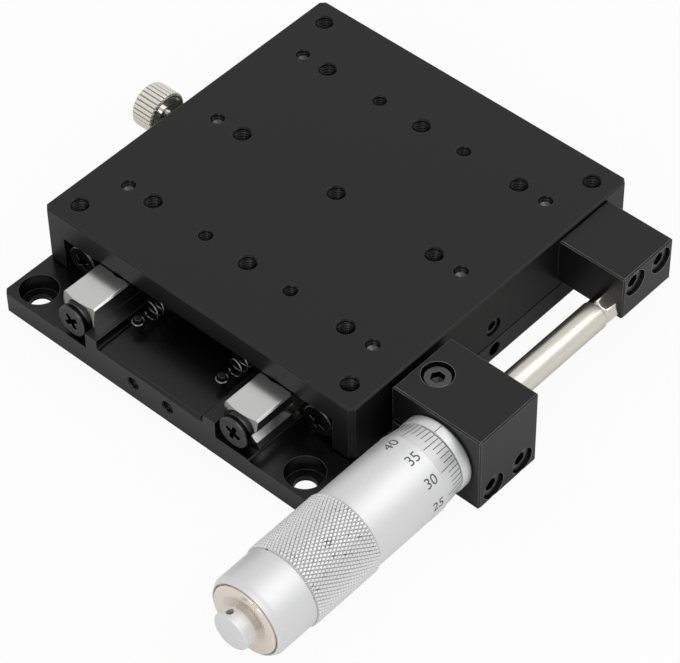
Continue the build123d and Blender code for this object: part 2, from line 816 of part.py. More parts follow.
with BuildPart() as anvil:
    with BuildSketch(Plane(origin=(anvil_seat_x, micrometer_y, micrometer_z), z_dir=(-1, 0, 0))):
        RegularPolygon(anvil_flats / 2, 6, major_radius=False, rotation=0)
    extrude(amount=anvil_seat_x - anvil_x)
    with BuildSketch(axis_plane):
        with BuildLine():
            Polyline(
                (anvil_x, 0),
                (anvil_x, anvil_crown_d / 2),
                (anvil_x + anvil_crown_l, anvil_corner_r),
                (anvil_seat_x, anvil_corner_r),
                (anvil_seat_x, 0),
                close=True,
            )
        make_face()
    revolve(axis=axis_line, mode=Mode.INTERSECT)
    with BuildSketch(Plane(origin=(anvil_seat_x, micrometer_y, micrometer_z), z_dir=(1, 0, 0))):
        Circle(m3_d / 2)
    extrude(amount=anvil_stud_l)
anvil.part.label = "anvil"


# The cages and their rollers
with BuildPart() as cage_left:
    add(cage(1))
cage_left.part.label = "cage_left"

with BuildPart() as cage_right:
    add(cage(-1))
cage_right.part.label = "cage_right"

with BuildPart() as rollers_left:
    with Locations(*roller_places(1)):
        Cylinder(roller_d / 2, roller_length)
rollers_left.part.label = "rollers_left"

with BuildPart() as rollers_right:
    with Locations(*roller_places(-1)):
        Cylinder(roller_d / 2, roller_length)
rollers_right.part.label = "rollers_right"


# The micrometer's moving pieces
with BuildPart() as spindle:
    with BuildSketch(axis_plane):
        with BuildLine():
            Polyline(
                (tip_x, 0),
                (tip_x, spindle_d / 2 - spindle_tip_cut),
                (tip_x - spindle_tip_cut, spindle_d / 2),
                (thimble_wall_x + running_gap, spindle_d / 2),
                (thimble_wall_x + running_gap, journal_d / 2),
                (disc_seat_x + running_gap, journal_d / 2),
                (disc_seat_x + running_gap, m3_thread_r),
                (disc_face_x + button_stud_l + hole_run_out, m3_thread_r),
                (disc_face_x + button_stud_l + hole_run_out, 0),
                close=True,
            )
        make_face()
    revolve(axis=axis_line)
spindle.part.label = "spindle"

with BuildPart() as thimble:
    with BuildSketch(axis_plane):
        with BuildLine():
            Polyline(
                (thimble_x, thimble_bore_r),
                (thimble_x, thimble_nose_r),
                (thimble_x - thimble_scale_l, thimble_scale_r),
                (thimble_x - thimble_scale_l, thimble_r),
                (thimble_x - knurl_start, thimble_r),
                (thimble_x - knurl_start - knurl_cut, knurl_r),
                (thimble_x - knurl_end + knurl_cut, knurl_r),
                (thimble_x - knurl_end, thimble_r),
                (thimble_end_x + rim_l, thimble_r),
                (thimble_end_x, rim_r),
                (thimble_end_x, disc_seat_r),
                (disc_seat_x, disc_seat_r),
                (disc_seat_x, journal_d / 2 + running_gap),
                (thimble_wall_x, journal_d / 2 + running_gap),
                (thimble_wall_x, thimble_bore_r),
                close=True,
            )
        make_face()
    revolve(axis=axis_line)
thimble.part.label = "thimble"

with BuildPart() as end_disc:
    with BuildSketch(axis_plane):
        with BuildLine():
            Polyline(
                (disc_seat_x, m3_bore_d / 2),
                (disc_seat_x, disc_r),
                (disc_face_x, disc_r),
                (disc_face_x, well_d / 2),
                (disc_face_x + well_depth, well_floor_d / 2),
                (disc_face_x + well_depth, m3_bore_d / 2),
                close=True,
            )
        make_face()
    revolve(axis=axis_line)
    disc_plane = Plane(
        origin=(disc_face_x, micrometer_y, micrometer_z), x_dir=(0, 1, 0), z_dir=(-1, 0, 0)
    )
    with BuildSketch(disc_plane):
        with PolarLocations(disc_r, 1, start_angle=disc_notch_angle):
            Rectangle(2 * disc_notch_depth, disc_notch_w)
    extrude(amount=-disc_proud, mode=Mode.SUBTRACT)
end_disc.part.label = "end_disc"

with BuildPart() as end_button:
    with BuildSketch(axis_plane):
        with BuildLine():
            Polyline(
                (button_neck_x - button_t, 0),
                (button_neck_x - button_t, button_d / 2 - button_cut),
                (button_neck_x - button_t + button_cut, button_d / 2),
                (button_neck_x, button_d / 2),
                (button_neck_x, button_neck_d / 2),
                (disc_face_x + well_depth, button_neck_d / 2),
                (disc_face_x + well_depth, m3_d / 2),
                (disc_face_x + button_stud_l, m3_d / 2),
                (disc_face_x + button_stud_l, 0),
                close=True,
            )
        make_face()
    revolve(axis=axis_line)
    with Locations((button_neck_x - button_t / 2, micrometer_y, micrometer_z)):
        Cylinder(
            cross_hole_d / 2, 2 * button_d, rotation=(-cross_hole_lean, 0, 0), mode=Mode.SUBTRACT
        )
end_button.part.label = "end_button"


# The lock on the left side
lock_plane = Plane(
    origin=(lock_screw_x, 0, lock_z), x_dir=(0, 1, 0), z_dir=(1, 0, 0)
)
lock_line = Axis((lock_screw_x, 0, lock_z), (0, 1, 0))

with BuildPart() as lock_screw:
    with BuildSketch(lock_plane):
        with BuildLine():
            Polyline(
                (lock_tip_y, 0),
                (lock_tip_y, lock_d / 2 - head_cut),
                (lock_tip_y + head_cut, lock_d / 2),
                (knob_y + knob_l, lock_d / 2),
                (knob_y + knob_l, 0),
                close=True,
            )
        make_face()
    revolve(axis=lock_line)
lock_screw.part.label = "lock_screw"

with BuildPart() as lock_knob:
    with BuildSketch(lock_plane):
        with BuildLine():
            Polyline(
                (knob_y + knob_dish_depth, lock_d / 2 + running_gap),
                (knob_y + knob_dish_depth, knob_dish_d / 2 - knob_dish_depth),
                (knob_y, knob_dish_d / 2),
                (knob_y, knob_d / 2 - knob_cut),
                (knob_y + knob_cut, knob_d / 2),
                (knob_y + knob_l - knob_cut, knob_d / 2),
                (knob_y + knob_l, knob_d / 2 - knob_cut),
                (knob_y + knob_l, lock_d / 2 + running_gap),
                close=True,
            )
        make_face()
    revolve(axis=lock_line)
lock_knob.part.label = "lock_knob"


# The springs
with BuildPart() as spring_left:
    add(spring(1))
spring_left.part.label = "spring_left"

with BuildPart() as spring_right:
    add(spring(-1))
spring_right.part.label = "spring_right"


pieces = (
    base_plate,
    base_rail_left,
    base_rail_right,
    base_rail_screws,
    base_rail_end_washers,
    base_rail_end_screws,
    base_spring_pins,
    micrometer_bracket,
    bracket_screws,
    clamp_screw,
    micrometer_sleeve,
    adjusting_nut,
    lock_plate,
    lock_plate_screws,
    table_plate,
    table_rail_left,
    table_rail_right,
    table_rail_screws,
    table_rail_end_washers,
    table_rail_end_screws,
    preload_screws,
    table_spring_pins,
    anvil_bracket,
    anvil_screws,
    anvil,
    cage_left,
    cage_right,
    rollers_left,
    rollers_right,
    spindle,
    thimble,
    end_disc,
    end_button,
    lock_screw,
    lock_knob,
    spring_left,
    spring_right,
)
os.makedirs("parts", exist_ok=True)
for piece in pieces:
    export_step(piece.part, f"parts/{piece.part.label}.step")
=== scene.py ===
import json
import math

import bmesh
import bpy
from bpy.props import FloatProperty, FloatVectorProperty, IntProperty, PointerProperty
from mathutils import Matrix, Vector


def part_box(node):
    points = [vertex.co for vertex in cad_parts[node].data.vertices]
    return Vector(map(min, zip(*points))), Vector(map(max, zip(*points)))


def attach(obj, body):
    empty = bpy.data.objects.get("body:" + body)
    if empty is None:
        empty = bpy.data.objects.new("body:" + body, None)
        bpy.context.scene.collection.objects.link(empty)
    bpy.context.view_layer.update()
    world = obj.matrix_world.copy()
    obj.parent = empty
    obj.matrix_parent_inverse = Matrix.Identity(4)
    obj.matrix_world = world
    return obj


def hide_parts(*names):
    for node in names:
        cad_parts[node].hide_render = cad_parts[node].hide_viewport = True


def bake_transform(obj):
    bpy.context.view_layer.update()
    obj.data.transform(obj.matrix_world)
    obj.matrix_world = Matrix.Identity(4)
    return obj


bl_info = {
    "name": "Micrometer Linear Stage",
    "version": (1, 0, 0),
    "blender": (4, 5, 0),
    "location": "3D View > Sidebar > Stage",
    "description": "Dresses a crossed-roller linear stage and its micrometer head",
    "category": "Object",
}

# The solid model of the stage, in metres. X is the travel and the micrometer is on the -Y side.
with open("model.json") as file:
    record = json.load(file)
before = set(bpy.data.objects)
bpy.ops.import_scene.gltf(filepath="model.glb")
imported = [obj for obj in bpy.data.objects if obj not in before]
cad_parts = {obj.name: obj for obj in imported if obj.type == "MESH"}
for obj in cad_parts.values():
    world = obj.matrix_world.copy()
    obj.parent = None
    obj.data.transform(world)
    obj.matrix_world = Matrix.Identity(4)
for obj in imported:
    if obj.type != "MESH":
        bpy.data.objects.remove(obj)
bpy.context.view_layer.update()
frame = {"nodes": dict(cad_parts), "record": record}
MM = 0.001
ALONG = Vector((1, 0, 0))
LEFT_SIDE = Vector((0, 1, 0))
RIGHT_SIDE = Vector((0, -1, 0))
UP = Vector((0, 0, 1))

# The plain materials of the solid model have the same names without this.
FINISH_NAME = "stage_"

# The micrometer's axis runs along X through the middle of its sleeve.
SLEEVE_LOW, SLEEVE_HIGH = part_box("micrometer_sleeve")
THIMBLE_LOW, THIMBLE_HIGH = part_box("thimble")
AXIS = (SLEEVE_LOW + SLEEVE_HIGH) / 2
AXIS.x = 0
TO_AXIS = Matrix.Translation(AXIS)
KNURL_R = (THIMBLE_HIGH.z - THIMBLE_LOW.z) / 2
COLLAR_R = (SLEEVE_HIGH.z - SLEEVE_LOW.z) / 2

# The thimble's bevelled scale and its body
SCALE_L = 4.5 * MM
NOSE_R, SCALE_R, BODY_R = (KNURL_R - fall * MM for fall in (1.1, 0.5, 0.4))


# Sizes and colours that a user may change
def colour_prop(name, description, *shares):
    return FloatVectorProperty(
        name=name, description=description, default=shares, subtype="COLOR", size=3
    )


def length_prop(name, description, millimetres):
    return FloatProperty(
        name=name, description=description, default=millimetres * MM, unit="LENGTH"
    )


def angle_prop(name, description, degrees):
    return FloatProperty(
        name=name, description=description, default=math.radians(degrees), subtype="ANGLE"
    )


def count_prop(name, description, default, low=0):
    return IntProperty(name=name, description=description, default=default, min=low)


class FinishColours(bpy.types.PropertyGroup):
    """The colours of the stage's finishes."""

    anodised: colour_prop("Anodised", "Black anodised plates and blocks", 0.0018, 0.0018, 0.0019)
    # Painted highlight along sharp edges, lighter than the anodising
    bare_edge: colour_prop("Edge Highlight", "Painted highlight along an edge", 0.22, 0.22, 0.225)
    ground_steel: colour_prop("Ground Steel", "Rails and rollers", 0.82, 0.82, 0.81)
    warm_steel: colour_prop("Warm Steel", "The micrometer's spindle", 0.92, 0.895, 0.80)
    dark_screw: colour_prop(
        "Dark Screw", "Cross-recessed end screws and the adjusting nut", 0.06, 0.06, 0.0615
    )
    black_oxide: colour_prop("Black Oxide", "Socket screws, washers, springs", 0.14, 0.14, 0.142)
    satin_chrome: colour_prop("Satin Chrome", "Thimble, sleeve and button", 0.91, 0.91, 0.915)
    nickel: colour_prop("Nickel", "Anvil and lock knob", 0.88, 0.85, 0.76)
    rosy_nickel: colour_prop("Rosy Nickel", "The disc at the thimble's end", 0.98, 0.89, 0.79)
    cage: colour_prop("Cage", "The strips that hold the rollers", 0.62, 0.47, 0.22)
    marking: colour_prop("Marking", "Paint in the scale's lines and numbers", 0.14, 0.14, 0.142)


class ScrewSizes(bpy.types.PropertyGroup):
    """The details of the screws that the solid model leaves plain."""

    sides: count_prop("Sides", "Facets round a screw", 48, 24)
    edge: length_prop("Head Edge", "Bevel of a socket head's edge", 0.2)
    coarse_pitch: length_prop("M4 Pitch", "Thread pitch of the M4 screws and holes", 0.7)
    fine_pitch: length_prop("M3 Pitch", "Thread pitch of the M3 screws and holes", 0.5)
    seed: count_prop("Seed", "How the screws happen to be turned", 7)


class MicrometerSizes(bpy.types.PropertyGroup):
    """The knurl and the scales of the micrometer head."""

    knurl_pitches: count_prop("Knurl Pitches", "Diamonds round the thimble", 70, 12)
    knurl_lean: angle_prop("Knurl Lean", "Angle between the grooves and the axis", 30)
    knurl_depth: length_prop("Knurl Depth", "Depth of the knurl's grooves", 0.36)
    divisions: count_prop("Divisions", "Lines round the thimble", 50, 10)
    line_w: length_prop("Line Width", "Width of the scale's lines", 0.16)
    short_line: length_prop("Short Line", "Length of a thimble line", 2.7)
    long_line: length_prop("Long Line", "Length of every fifth thimble line", 4.2)
    digit_h: length_prop("Number Height", "Height of the scale's numbers", 2.1)
    zero_angle: angle_prop("Zero Angle", "The thimble's zero, from +Y over the top", 358)
    index_angle: angle_prop("Index Angle", "The sleeve's index line, from +Y over the top", 96.5)


class KnobSizes(bpy.types.PropertyGroup):
    """The ribs of the lock knob."""

    ribs: count_prop("Ribs", "Ribs round the knob", 30, 8)
    rib_depth: length_prop("Rib Depth", "Depth of the grooves between the ribs", 0.4)


class SpringSizes(bpy.types.PropertyGroup):
    """The wire of the two extension springs."""

    wire: length_prop("Wire", "Diameter of the spring wire", 0.5)
    pitch: length_prop("Pitch", "Distance between the stretched coils", 1.65)
    neck: length_prop("Neck", "Distance from a pin to the first coil", 2.2)


class StudioSettings(bpy.types.PropertyGroup):
    """The camera and the lights."""

    azimuth: angle_prop("Azimuth", "Camera's turn about Z, from looking along +Y", -47.0384)
    elevation: angle_prop("Elevation", "Camera's height above the horizon", 47.2414)
    roll: angle_prop("Roll", "Camera's turn about its own line of sight", -1.1630)
    distance: length_prop("Distance", "From the camera to the middle of the table's top", 595.32)
    right: length_prop("Right", "Camera's offset to its right", 0.7136)
    up: length_prop("Up", "Camera's offset upwards", -26.8166)
    lens: FloatProperty(name="Lens", description="Focal length", default=163.23, unit="CAMERA")
    world: FloatProperty(
        name="World Level", description="Brightness of the light from all round", default=0.65
    )
    key: FloatProperty(name="Key Level", description="Power of the large soft lamp", default=2.3)
    side: FloatProperty(
        name="Side Level", description="Power of the lamp at the micrometer's end", default=1.2
    )


SETTINGS = {
    "finish_colours": FinishColours,
    "screw_sizes": ScrewSizes,
    "micrometer_sizes": MicrometerSizes,
    "knob_sizes": KnobSizes,
    "spring_sizes": SpringSizes,
    "studio_settings": StudioSettings,
}


# Node trees
class Wire:
    """An output of a node that can be reckoned with: each sign adds one Math node to its tree."""

    def __init__(self, socket):
        self.socket, self.tree = socket, socket.id_data

    def __add__(self, other):
        return calc("ADD", self, other)

    def __sub__(self, other):
        return calc("SUBTRACT", self, other)

    def __rsub__(self, other):
        return calc("SUBTRACT", other, self)

    def __mul__(self, other):
        return calc("MULTIPLY", self, other)

    def __truediv__(self, other):
        return calc("DIVIDE", self, other)

    def __rtruediv__(self, other):
        return calc("DIVIDE", other, self)


def add_node(tree, kind, values=None, out=0, **settings):
    """One output of a new node, with its settings, and its inputs set or linked."""
    node = tree.nodes.new(kind)
    for name, value in settings.items():
        setattr(node, name, value)
    for name, value in (values or {}).items():
        if isinstance(value, Wire):
            tree.links.new(value.socket, node.inputs[name])
        else:
            node.inputs[name].default_value = value
    return Wire(node.outputs[out]) if node.outputs else None


def all_outputs(wire):
    """Every output of the node that a wire comes from, by name."""
    return {output.name: Wire(output) for output in wire.socket.node.outputs}


def calc(operation, *operands, kind="ShaderNodeMath", out=0):
    """The result of one Math node, or of a node like it."""
    tree = next(operand.tree for operand in operands if isinstance(operand, Wire))
    return add_node(tree, kind, dict(enumerate(operands)), out, operation=operation)


def vector_calc(operation, *operands, out=0):
    """The result of one Vector Math node."""
    return calc(operation, *operands, kind="ShaderNodeVectorMath", out=out)


def least(*operands):
    """The smaller of two values."""
    return calc("MINIMUM", *operands)


def vector(tree, x=0.0, y=0.0, z=0.0):
    """A vector of three values."""
    return add_node(tree, "ShaderNodeCombineXYZ", {"X": x, "Y": y, "Z": z})


def split(place):
    """The X, Y and Z of a vector, by name."""
    return all_outputs(add_node(place.tree, "ShaderNodeSeparateXYZ", {0: place}))


def spread(value, low, high, new_low=0.0, new_high=1.0, **settings):
    """A value moved from one range to another, held at its ends."""
    span = dict(enumerate((value, low, high, new_low, new_high)))
    return add_node(value.tree, "ShaderNodeMapRange", span, **settings)


def mix(share, first, second):
    """A colour between two colours."""
    return add_node(
        share.tree, "ShaderNodeMix", {0: share, 6: first, 7: second}, 2, data_type="RGBA"
    )


def node_group(kind, **inputs):
    """Lets a function build its node group once, and find it by the function's name after that.

    The inputs are named for each kind of socket. The function returns the outputs by name."""
    out_kinds = {"VALUE": "Float", "VECTOR": "Vector", "GEOMETRY": "Geometry"}

    def wrap(build):
        def find():
            tree = bpy.data.node_groups.get(build.__name__)
            if tree:
                return tree
            tree = bpy.data.node_groups.new(build.__name__, kind)
            for socket, titles in inputs.items():
                for title in titles.split(", "):
                    tree.interface.new_socket(
                        name=title, in_out="INPUT", socket_type="NodeSocket" + socket
                    )
            start = tree.nodes.new("NodeGroupInput")
            wires = build(tree, {output.name: Wire(output) for output in start.outputs})
            for title, wire in wires.items():
                tree.interface.new_socket(
                    name=title, in_out="OUTPUT",
                    socket_type="NodeSocket" + out_kinds[wire.socket.type],
                )
            end = tree.nodes.new("NodeGroupOutput")
            for title, wire in wires.items():
                tree.links.new(wire.socket, end.inputs[title])
            return tree

        return find

    return wrap


def use_group(tree, group, **values):
    """The outputs of a shader group, with its inputs set by name."""
    given = {name.replace("_", " "): value for name, value in values.items()}
    return all_outputs(add_node(tree, "ShaderNodeGroup", given, node_tree=group))


def clear_nodes(owner):
    """The emptied node tree of a material or a world."""
    owner.use_nodes = True
    owner.node_tree.nodes.clear()
    return owner.node_tree


# Shader effects that several finishes share
def object_place(tree):
    return add_node(tree, "ShaderNodeTexCoord", out="Object")


def flat_normal(tree):
    return add_node(tree, "ShaderNodeNewGeometry", out="True Normal")


def patches(place, scale, detail):
    """Uneven patches of light and dark."""
    return add_node(
        place.tree, "ShaderNodeTexNoise", {"Vector": place, "Scale": scale, "Detail": detail}, "Fac"
    )


@node_group("ShaderNodeTree", Float="Grain Size, Low, High", Vector="Stretch")
def surface_grain(tree, given):
    """Fine uneven texture, stretched along each axis by its own share."""
    shrunk = vector_calc("DIVIDE", object_place(tree), given["Stretch"])
    mask = spread(patches(shrunk, 1.0 / given["Grain Size"], 3.0), 0.3, 0.7)
    return {"Mask": mask, "Roughness": spread(mask, 0.0, 1.0, given["Low"], given["High"])}


@node_group("ShaderNodeTree", Float="Width, Amount")
def worn_edge(tree, given):
    """How near a point is to a sharp outer edge, broken up unevenly, as the mask of a painted
    highlight, and the eased normal there.
    """
    rounded = add_node(tree, "ShaderNodeBevel", {"Radius": given["Width"]}, samples=6)
    facing = vector_calc("DOT_PRODUCT", rounded, flat_normal(tree), out="Value")
    uneven = spread(patches(object_place(tree), 260.0, 4.0), 0.35, 0.6, 0.55)
    return {"Mask": spread(facing, 0.995, 0.90) * uneven * given["Amount"], "Normal": rounded}


@node_group("ShaderNodeTree", Float="Pitch")
def turned_rings(tree, given):
    """Fine rings round the micrometer's axis, as a turning tool leaves them."""
    step = split(object_place(tree))["X"] / given["Pitch"]
    height = add_node(
        tree, "ShaderNodeTexNoise", {"W": step, "Scale": 1.0, "Detail": 4.0}, "Fac",
        noise_dimensions="1D",
    )
    return {"Height": height}


@node_group("ShaderNodeTree", Vector="Centre, Across", Float="Radius, Depth, Evenness")
def groove_dirt(tree, given):
    """How deep a point lies below a radius about a line, for painted shade in the grooves."""
    place = object_place(tree)
    away = vector_calc("SUBTRACT", place, given["Centre"])
    reach = vector_calc("LENGTH", vector_calc("MULTIPLY", away, given["Across"]), out="Value")
    sunk = (given["Radius"] - reach) / given["Depth"]
    uneven = spread(patches(place, 900.0, 2.0), 0.60, 0.66, given["Evenness"])
    # The walls below the grooves get no painted shade.
    return {"Mask": spread(sunk, 0.3, 1.0) * spread(sunk, 1.1, 1.3, 1.0, 0.0) * uneven}


@node_group("ShaderNodeTree")
def facing_ends(tree, given):
    """Where a surface faces along X, as the ends of a rail do."""
    return {"Mask": spread(calc("ABSOLUTE", split(flat_normal(tree))["X"]), 0.4, 0.6)}


# Finishes
def toned(colour, share=1.0):
    """A colour made lighter or darker, with its alpha."""
    return (*(share * part for part in tuple(colour)[:3]), 1.0)


def make_finish(name, colour, rough, grain, metallic=1.0, stretch=(1, 1, 1), shade=0.85,
                edge=None, edge_w=0.12, edge_amount=0.0, bump=0.0, rings=0.0, grooves=None,
                ends=None, painted_shade_tone=None, gloss=0.5):
    """A material of uneven tone and gloss, with a fine raised grain, painted highlights along sharp
    edges, painted shade in grooves and in the recesses and head sides of screws, and darker ends.

    The sizes of its grain, edges, bump and rings are in millimetres."""
    material = bpy.data.materials.new(FINISH_NAME + name)
    tree = clear_nodes(material)
    texture = use_group(
        tree, surface_grain(),
        Grain_Size=grain * MM, Stretch=stretch, Low=rough[0], High=rough[1],
    )
    highlight = use_group(tree, worn_edge(), Width=edge_w * MM, Amount=edge_amount)
    base = mix(texture["Mask"], toned(colour, shade), toned(colour))
    # Painted highlight along sharp edges, in the edge colour
    base = mix(highlight["Mask"], base, toned(edge or colour))
    if grooves:
        # Painted shade in the grooves of the knurl and of the ribs
        base = mix(use_group(tree, groove_dirt(), **grooves)["Mask"], base, toned(colour, 0.1))
    if painted_shade_tone:
        # Painted shade on the rings of a screw's recess and head side
        dark = add_node(tree, "ShaderNodeAttribute", out="Fac", attribute_name="dark")
        base = mix(dark, base, toned(colour, painted_shade_tone))
    if ends:
        base = mix(use_group(tree, facing_ends())["Mask"], base, ends)
    height = texture["Mask"]
    if rings:
        height = use_group(tree, turned_rings(), Pitch=rings * MM)["Height"]
    normal = add_node(
        tree, "ShaderNodeBump",
        {"Height": height, "Strength": 1.0, "Distance": bump * MM, "Normal": highlight["Normal"]},
    )
    shader = add_node(
        tree, "ShaderNodeBsdfPrincipled",
        {"Base Color": base, "Metallic": metallic, "Roughness": texture["Roughness"],
         "Normal": normal, "Specular IOR Level": gloss},
    )
    add_node(tree, "ShaderNodeOutputMaterial", {"Surface": shader})
    return material


def finish_values():
    """What each finish is made of, by its name."""
    scene = bpy.context.scene
    colours = scene.finish_colours
    # Each edge colour below is a painted highlight along sharp edges
    anodised = {
        "colour": colours.anodised, "metallic": 0.0, "grain": 0.06, "shade": 0.7,
        "edge": colours.bare_edge, "edge_w": 0.15, "bump": 0.0015, "gloss": 0.47,
    }
    knob_low, knob_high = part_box("lock_knob")
    # Where the grooves of the knurl and of the ribs get painted shade
    in_knurl = {
        "Centre": AXIS, "Across": (0, 1, 1), "Radius": KNURL_R,
        "Depth": scene.micrometer_sizes.knurl_depth, "Evenness": 0.45,
    }
    in_ribs = {
        "Centre": (knob_low + knob_high) / 2, "Across": (1, 0, 1),
        "Radius": (knob_high.z - knob_low.z) / 2, "Depth": 0.85 * scene.knob_sizes.rib_depth,
        "Evenness": 1.0,
    }
    return {
        "black_anodised": dict(anodised, rough=(0.22, 0.32), edge_amount=0.5),
        "dull_anodised": dict(anodised, rough=(0.38, 0.48), edge_amount=0.35, gloss=0.46),
        "sharp_anodised": dict(
            anodised, rough=(0.36, 0.46), edge=toned(colours.bare_edge, 2.0), edge_w=0.16,
            edge_amount=0.9,
        ),
        "cut_thread": dict(
            colour=colours.anodised, metallic=0.0, rough=(0.2, 0.3), grain=0.1, shade=0.5,
            gloss=0.33,
        ),
        "ground_steel": dict(
            colour=colours.ground_steel, rough=(0.16, 0.26), grain=0.05, stretch=(40, 1, 1),
            shade=0.93, bump=0.0004, ends=toned(colours.ground_steel, 0.4),
        ),
        "polished_steel": dict(
            colour=colours.ground_steel, rough=(0.12, 0.2), grain=0.2, shade=0.94, bump=0.0003,
        ),
        "spindle_steel": dict(
            colour=colours.warm_steel, rough=(0.24, 0.36), grain=0.1, stretch=(40, 1, 1),
            shade=0.9, bump=0.0006,
        ),
        # The shade tones below darken a screw's recess and head side as painted shade
        "dark_steel": dict(
            colour=colours.dark_screw, rough=(0.2, 0.3), grain=0.12, shade=0.75,
            edge=(0.6, 0.6, 0.6), edge_w=0.14, edge_amount=0.9, bump=0.001, painted_shade_tone=0.08,
        ),
        "black_oxide": dict(
            colour=colours.black_oxide, rough=(0.25, 0.35), grain=0.12, shade=0.7,
            edge=(0.45, 0.45, 0.45), edge_w=0.1, edge_amount=0.7, bump=0.001, painted_shade_tone=0.4,
        ),
        "spring_wire": dict(
            colour=toned(colours.black_oxide, 1.5), rough=(0.05, 0.08), grain=0.1,
        ),
        "satin_chrome": dict(
            colour=colours.satin_chrome, metallic=0.9, rough=(0.5, 0.58), grain=0.5, shade=0.97,
            bump=0.0005, rings=0.06,
        ),
        "knurl_chrome": dict(
            colour=toned(colours.satin_chrome, 1.08), metallic=0.6, rough=(0.24, 0.34),
            grain=0.2, shade=0.95, bump=0.0008, grooves=in_knurl,
        ),
        "nickel": dict(
            colour=colours.nickel, rough=(0.14, 0.22), grain=0.3, shade=0.95, edge=(1, 1, 1),
            edge_w=0.1, edge_amount=0.6, bump=0.0004,
        ),
        "ribbed_nickel": dict(
            colour=toned(colours.nickel, 1.12), metallic=0.55, rough=(0.2, 0.3), grain=0.3,
            shade=0.95, grooves=in_ribs,
        ),
        "rosy_nickel": dict(
            colour=colours.rosy_nickel, metallic=0.65, rough=(0.16, 0.24), grain=0.4,
            shade=0.95, bump=0.0003, rings=0.05,
        ),
        "cage_strip": dict(
            colour=colours.cage, rough=(0.3, 0.45), grain=0.1, stretch=(8, 1, 1),
        ),
        "scale_paint": dict(
            colour=colours.marking, metallic=0.0, rough=(0.4, 0.6), grain=0.1, shade=0.6,
        ),
    }


def finish(name):
    """A finish by its name, made the first time that it is needed."""
    made = bpy.data.materials.get(FINISH_NAME + name)
    return made or make_finish(name, **finish_values()[name])


# Which finish each piece of the solid model keeps
NODE_FINISHES = {
    "black_anodised": ("base_plate", "lock_plate", "base_spring_pins", "table_spring_pins"),
    "dull_anodised": ("table_plate",),
    "sharp_anodised": ("micrometer_bracket", "anvil_bracket"),
    "ground_steel": ("base_rail_left", "base_rail_right", "table_rail_left", "table_rail_right"),
    "dark_steel": ("adjusting_nut",),
    "black_oxide": ("base_rail_end_washers", "table_rail_end_washers"),
    "polished_steel": ("rollers_left", "rollers_right", "lock_screw"),
    "cage_strip": ("cage_left", "cage_right"),
}


# Pieces
def lay_piece(name, mesh, material=None):
    """A new object at the origin that shows a mesh."""
    piece = bpy.data.objects.new(name, mesh)
    bpy.context.scene.collection.objects.link(piece)
    if material:
        mesh.materials.clear()
        mesh.materials.append(material)
    return piece


def hold(piece, body, slot, *nodes):
    """Puts a finished piece on its body, in place of the plain nodes that it stands for."""
    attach(piece, body)
    if nodes:
        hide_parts(*nodes)


def dress(name, mesh, finish_name, body, slot, *nodes):
    """Makes a mesh a piece with its finish, and puts it on its body."""
    hold(lay_piece(name, mesh, finish(finish_name)), body, slot, *nodes)


def evaluated_mesh(piece):
    """The plain mesh that a piece has with its modifiers."""
    evaluated = piece.evaluated_get(bpy.context.evaluated_depsgraph_get())
    return bpy.data.meshes.new_from_object(evaluated)


def ring(radius_at, z, sides):
    """A closed ring of points, whose radius may depend on the angle."""
    points = []
    for i in range(sides):
        angle = math.tau * i / sides
        radius = radius_at(angle) if callable(radius_at) else radius_at
        points.append(Vector((radius * math.cos(angle), radius * math.sin(angle), z)))
    return points


def hexagon(across_flats):
    """The radius of a hexagon at an angle."""
    sixth = math.tau / 6
    return lambda angle: across_flats / 2 / math.cos(angle % sixth - sixth / 2)


def cross(length, width):
    """The radius of a cross's outline at an angle."""
    quarter = math.tau / 4

    def radius(angle):
        turn = abs((angle + quarter / 2) % quarter - quarter / 2)
        side = width / 2 / math.sin(turn) if turn else length
        return min(length / 2 / math.cos(turn), max(side, width / 2 / math.cos(quarter / 2 - turn)))

    return radius


def mesh_of(name, shape, smooth_angle=None):
    """The mesh of a bmesh, which is used up, smooth but for edges sharper than an angle."""
    mesh = bpy.data.meshes.new(name)
    shape.to_mesh(mesh)
    shape.free()
    if smooth_angle:
        mesh.shade_smooth()
        mesh.set_sharp_from_angle(angle=math.radians(smooth_angle))
    return mesh


def skin(name, rings, dark=()):
    """A closed mesh through rings of equally many points, with both ends filled to a point.

    Some rings, counted from the last, get painted shade, which the finish darkens."""
    shape = bmesh.new()
    made = [[shape.verts.new(point) for point in points] for points in rings]
    count = len(rings[0])
    for first, second in zip(made, made[1:]):
        for i in range(count):
            j = (i + 1) % count
            shape.faces.new((first[i], first[j], second[j], second[i]))
    for points, order in ((made[0], -1), (made[-1], 1)):
        middle = shape.verts.new(sum((point.co for point in points), Vector()) / count)
        for i in range(count):
            corners = (points[i], points[(i + 1) % count], middle)
            shape.faces.new(corners[::order])
    mesh = mesh_of(name, shape, 35)
    shares = [float(len(rings) - i in dark) for i in range(len(rings))]
    marks = [share for share in shares for _ in range(count)] + [0.0, float(1 in dark)]
    mesh.attributes.new("dark", "FLOAT", "POINT").data.foreach_set("value", marks)
    return mesh


def turned(name, outline, place, sides=128):
    """A closed mesh, turned about the X axis from (x, radius) points and moved by a matrix."""
    shape = bmesh.new()
    rows = []
    for i in range(sides):
        angle = math.tau * i / sides
        rows.append([
            shape.verts.new(place @ Vector((x, r * math.cos(angle), r * math.sin(angle))))
            for x, r in outline
        ])
    for row, following in zip(rows, rows[1:] + rows[:1]):
        for i, first in enumerate(row):
            j = (i + 1) % len(row)
            if outline[i][1] or outline[j][1]:
                shape.faces.new((first, row[j], following[j], following[i]))
    bmesh.ops.remove_doubles(shape, verts=shape.verts, dist=1e-8)
    bmesh.ops.recalc_face_normals(shape, faces=shape.faces)
    return mesh_of(name, shape, 25)


